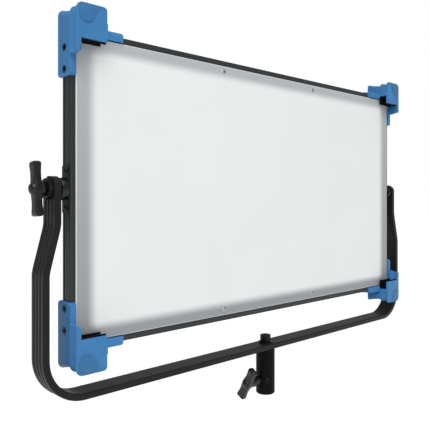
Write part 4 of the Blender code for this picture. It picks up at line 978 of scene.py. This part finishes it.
def soft_light(name, power, size, place, aim):
    lamp = bpy.data.lights.new(name, "AREA")
    lamp.shape = "RECTANGLE"
    lamp.energy = power
    lamp.size, lamp.size_y = size
    holder = bpy.data.objects.new(name, lamp)
    holder.location = place
    holder.rotation_euler = (Vector(aim) - Vector(place)).to_track_quat("-Z", "Y").to_euler()
    bpy.context.scene.collection.objects.link(holder)


class SOFTPANEL_OT_studio(bpy.types.Operator):
    """Pale floor, soft light from all round and the camera."""
    bl_idname = "soft_panel.studio"
    bl_label = "Studio"

    def execute(self, context):
        studio = context.scene.soft_panel.studio
        shape = bmesh.new()
        bmesh.ops.create_circle(shape, cap_ends=True, radius=studio.floor_reach, segments=96,
                                matrix=Matrix.Translation((0, 0, -studio.floor_drop)))
        floor = as_piece("floor", shape, None)
        floor.data.materials.append(finish("pale_floor", (0.96, 0.96, 0.96), 0.9, 0.0, 1.5, 0.01, 0.05, 0.02,
                                           specular=0.0))
        world = bpy.data.worlds.new("studio")
        world.use_nodes = True
        tree = world.node_tree
        sky = tree.nodes["Background"]
        sky.inputs["Color"].default_value = (1.0, 1.0, 1.0, 1.0)
        seen = tree.nodes.new("ShaderNodeLightPath").outputs["Is Camera Ray"]
        tree.links.new(remap(tree, seen, 0.0, 1.0, studio.ambient, 1.0), sky.inputs["Strength"])
        context.scene.world = world
        soft_light("key", studio.key_power, (1.3, 1.3), (-1.1, -1.2, 1.6), (0.0, 0.0, TILT_HEIGHT))
        sun = bpy.data.lights.new("overhead", "SUN")
        sun.energy = studio.sun
        sun.angle = radians(60)
        above = bpy.data.objects.new("overhead", sun)
        above.rotation_euler = Vector((0.25, 0.35, -1.0)).to_track_quat("-Z", "Y").to_euler()
        context.scene.collection.objects.link(above)
        context.scene.view_settings.view_transform = "Standard"
        view = bpy.data.cameras.new("camera")
        view.sensor_width = CAMERA_SENSOR
        view.lens = CAMERA_LENS
        view.shift_y = CAMERA_SHIFT
        view.clip_start = 0.01
        view.clip_end = 200.0
        camera = bpy.data.objects.new("camera", view)
        camera.location = CAMERA_PLACE
        camera.rotation_euler = Vector(CAMERA_FACING).to_track_quat("-Z", "Y").to_euler()
        context.scene.collection.objects.link(camera)
        context.scene.camera = camera
        return {"FINISHED"}


class SOFTPANEL_PT_pieces(bpy.types.Panel):
    """Lists every piece in the order it is made."""
    bl_idname = "SOFTPANEL_PT_pieces"
    bl_label = "Soft light panel"
    bl_space_type = "VIEW_3D"
    bl_region_type = "UI"
    bl_category = "Soft light"

    def draw(self, context):
        for operator in OPERATORS:
            self.layout.operator(operator.bl_idname)


OPERATORS = (SOFTPANEL_OT_frame_rails, SOFTPANEL_OT_diffuser, SOFTPANEL_OT_corner_blocks,
             SOFTPANEL_OT_corner_screws, SOFTPANEL_OT_light_engine, SOFTPANEL_OT_yoke,
             SOFTPANEL_OT_tilt_fittings, SOFTPANEL_OT_receiver, SOFTPANEL_OT_handles, SOFTPANEL_OT_housing,
             SOFTPANEL_OT_controls, SOFTPANEL_OT_studio)
GROUPS = (CornerSizes, YokeSizes, HandleSizes, Colours, StudioSettings, SoftPanelSettings)


def register():
    for made in GROUPS + OPERATORS + (SOFTPANEL_PT_pieces,):
        bpy.utils.register_class(made)
    bpy.types.Scene.soft_panel = PointerProperty(type=SoftPanelSettings)


def unregister():
    del bpy.types.Scene.soft_panel
    for made in reversed(GROUPS + OPERATORS + (SOFTPANEL_PT_pieces,)):
        bpy.utils.unregister_class(made)


def main():
    register()
    for operator in OPERATORS:
        group, call = operator.bl_idname.split(".")
        getattr(getattr(bpy.ops, group), call)()


if __name__ == "__main__":
    main()
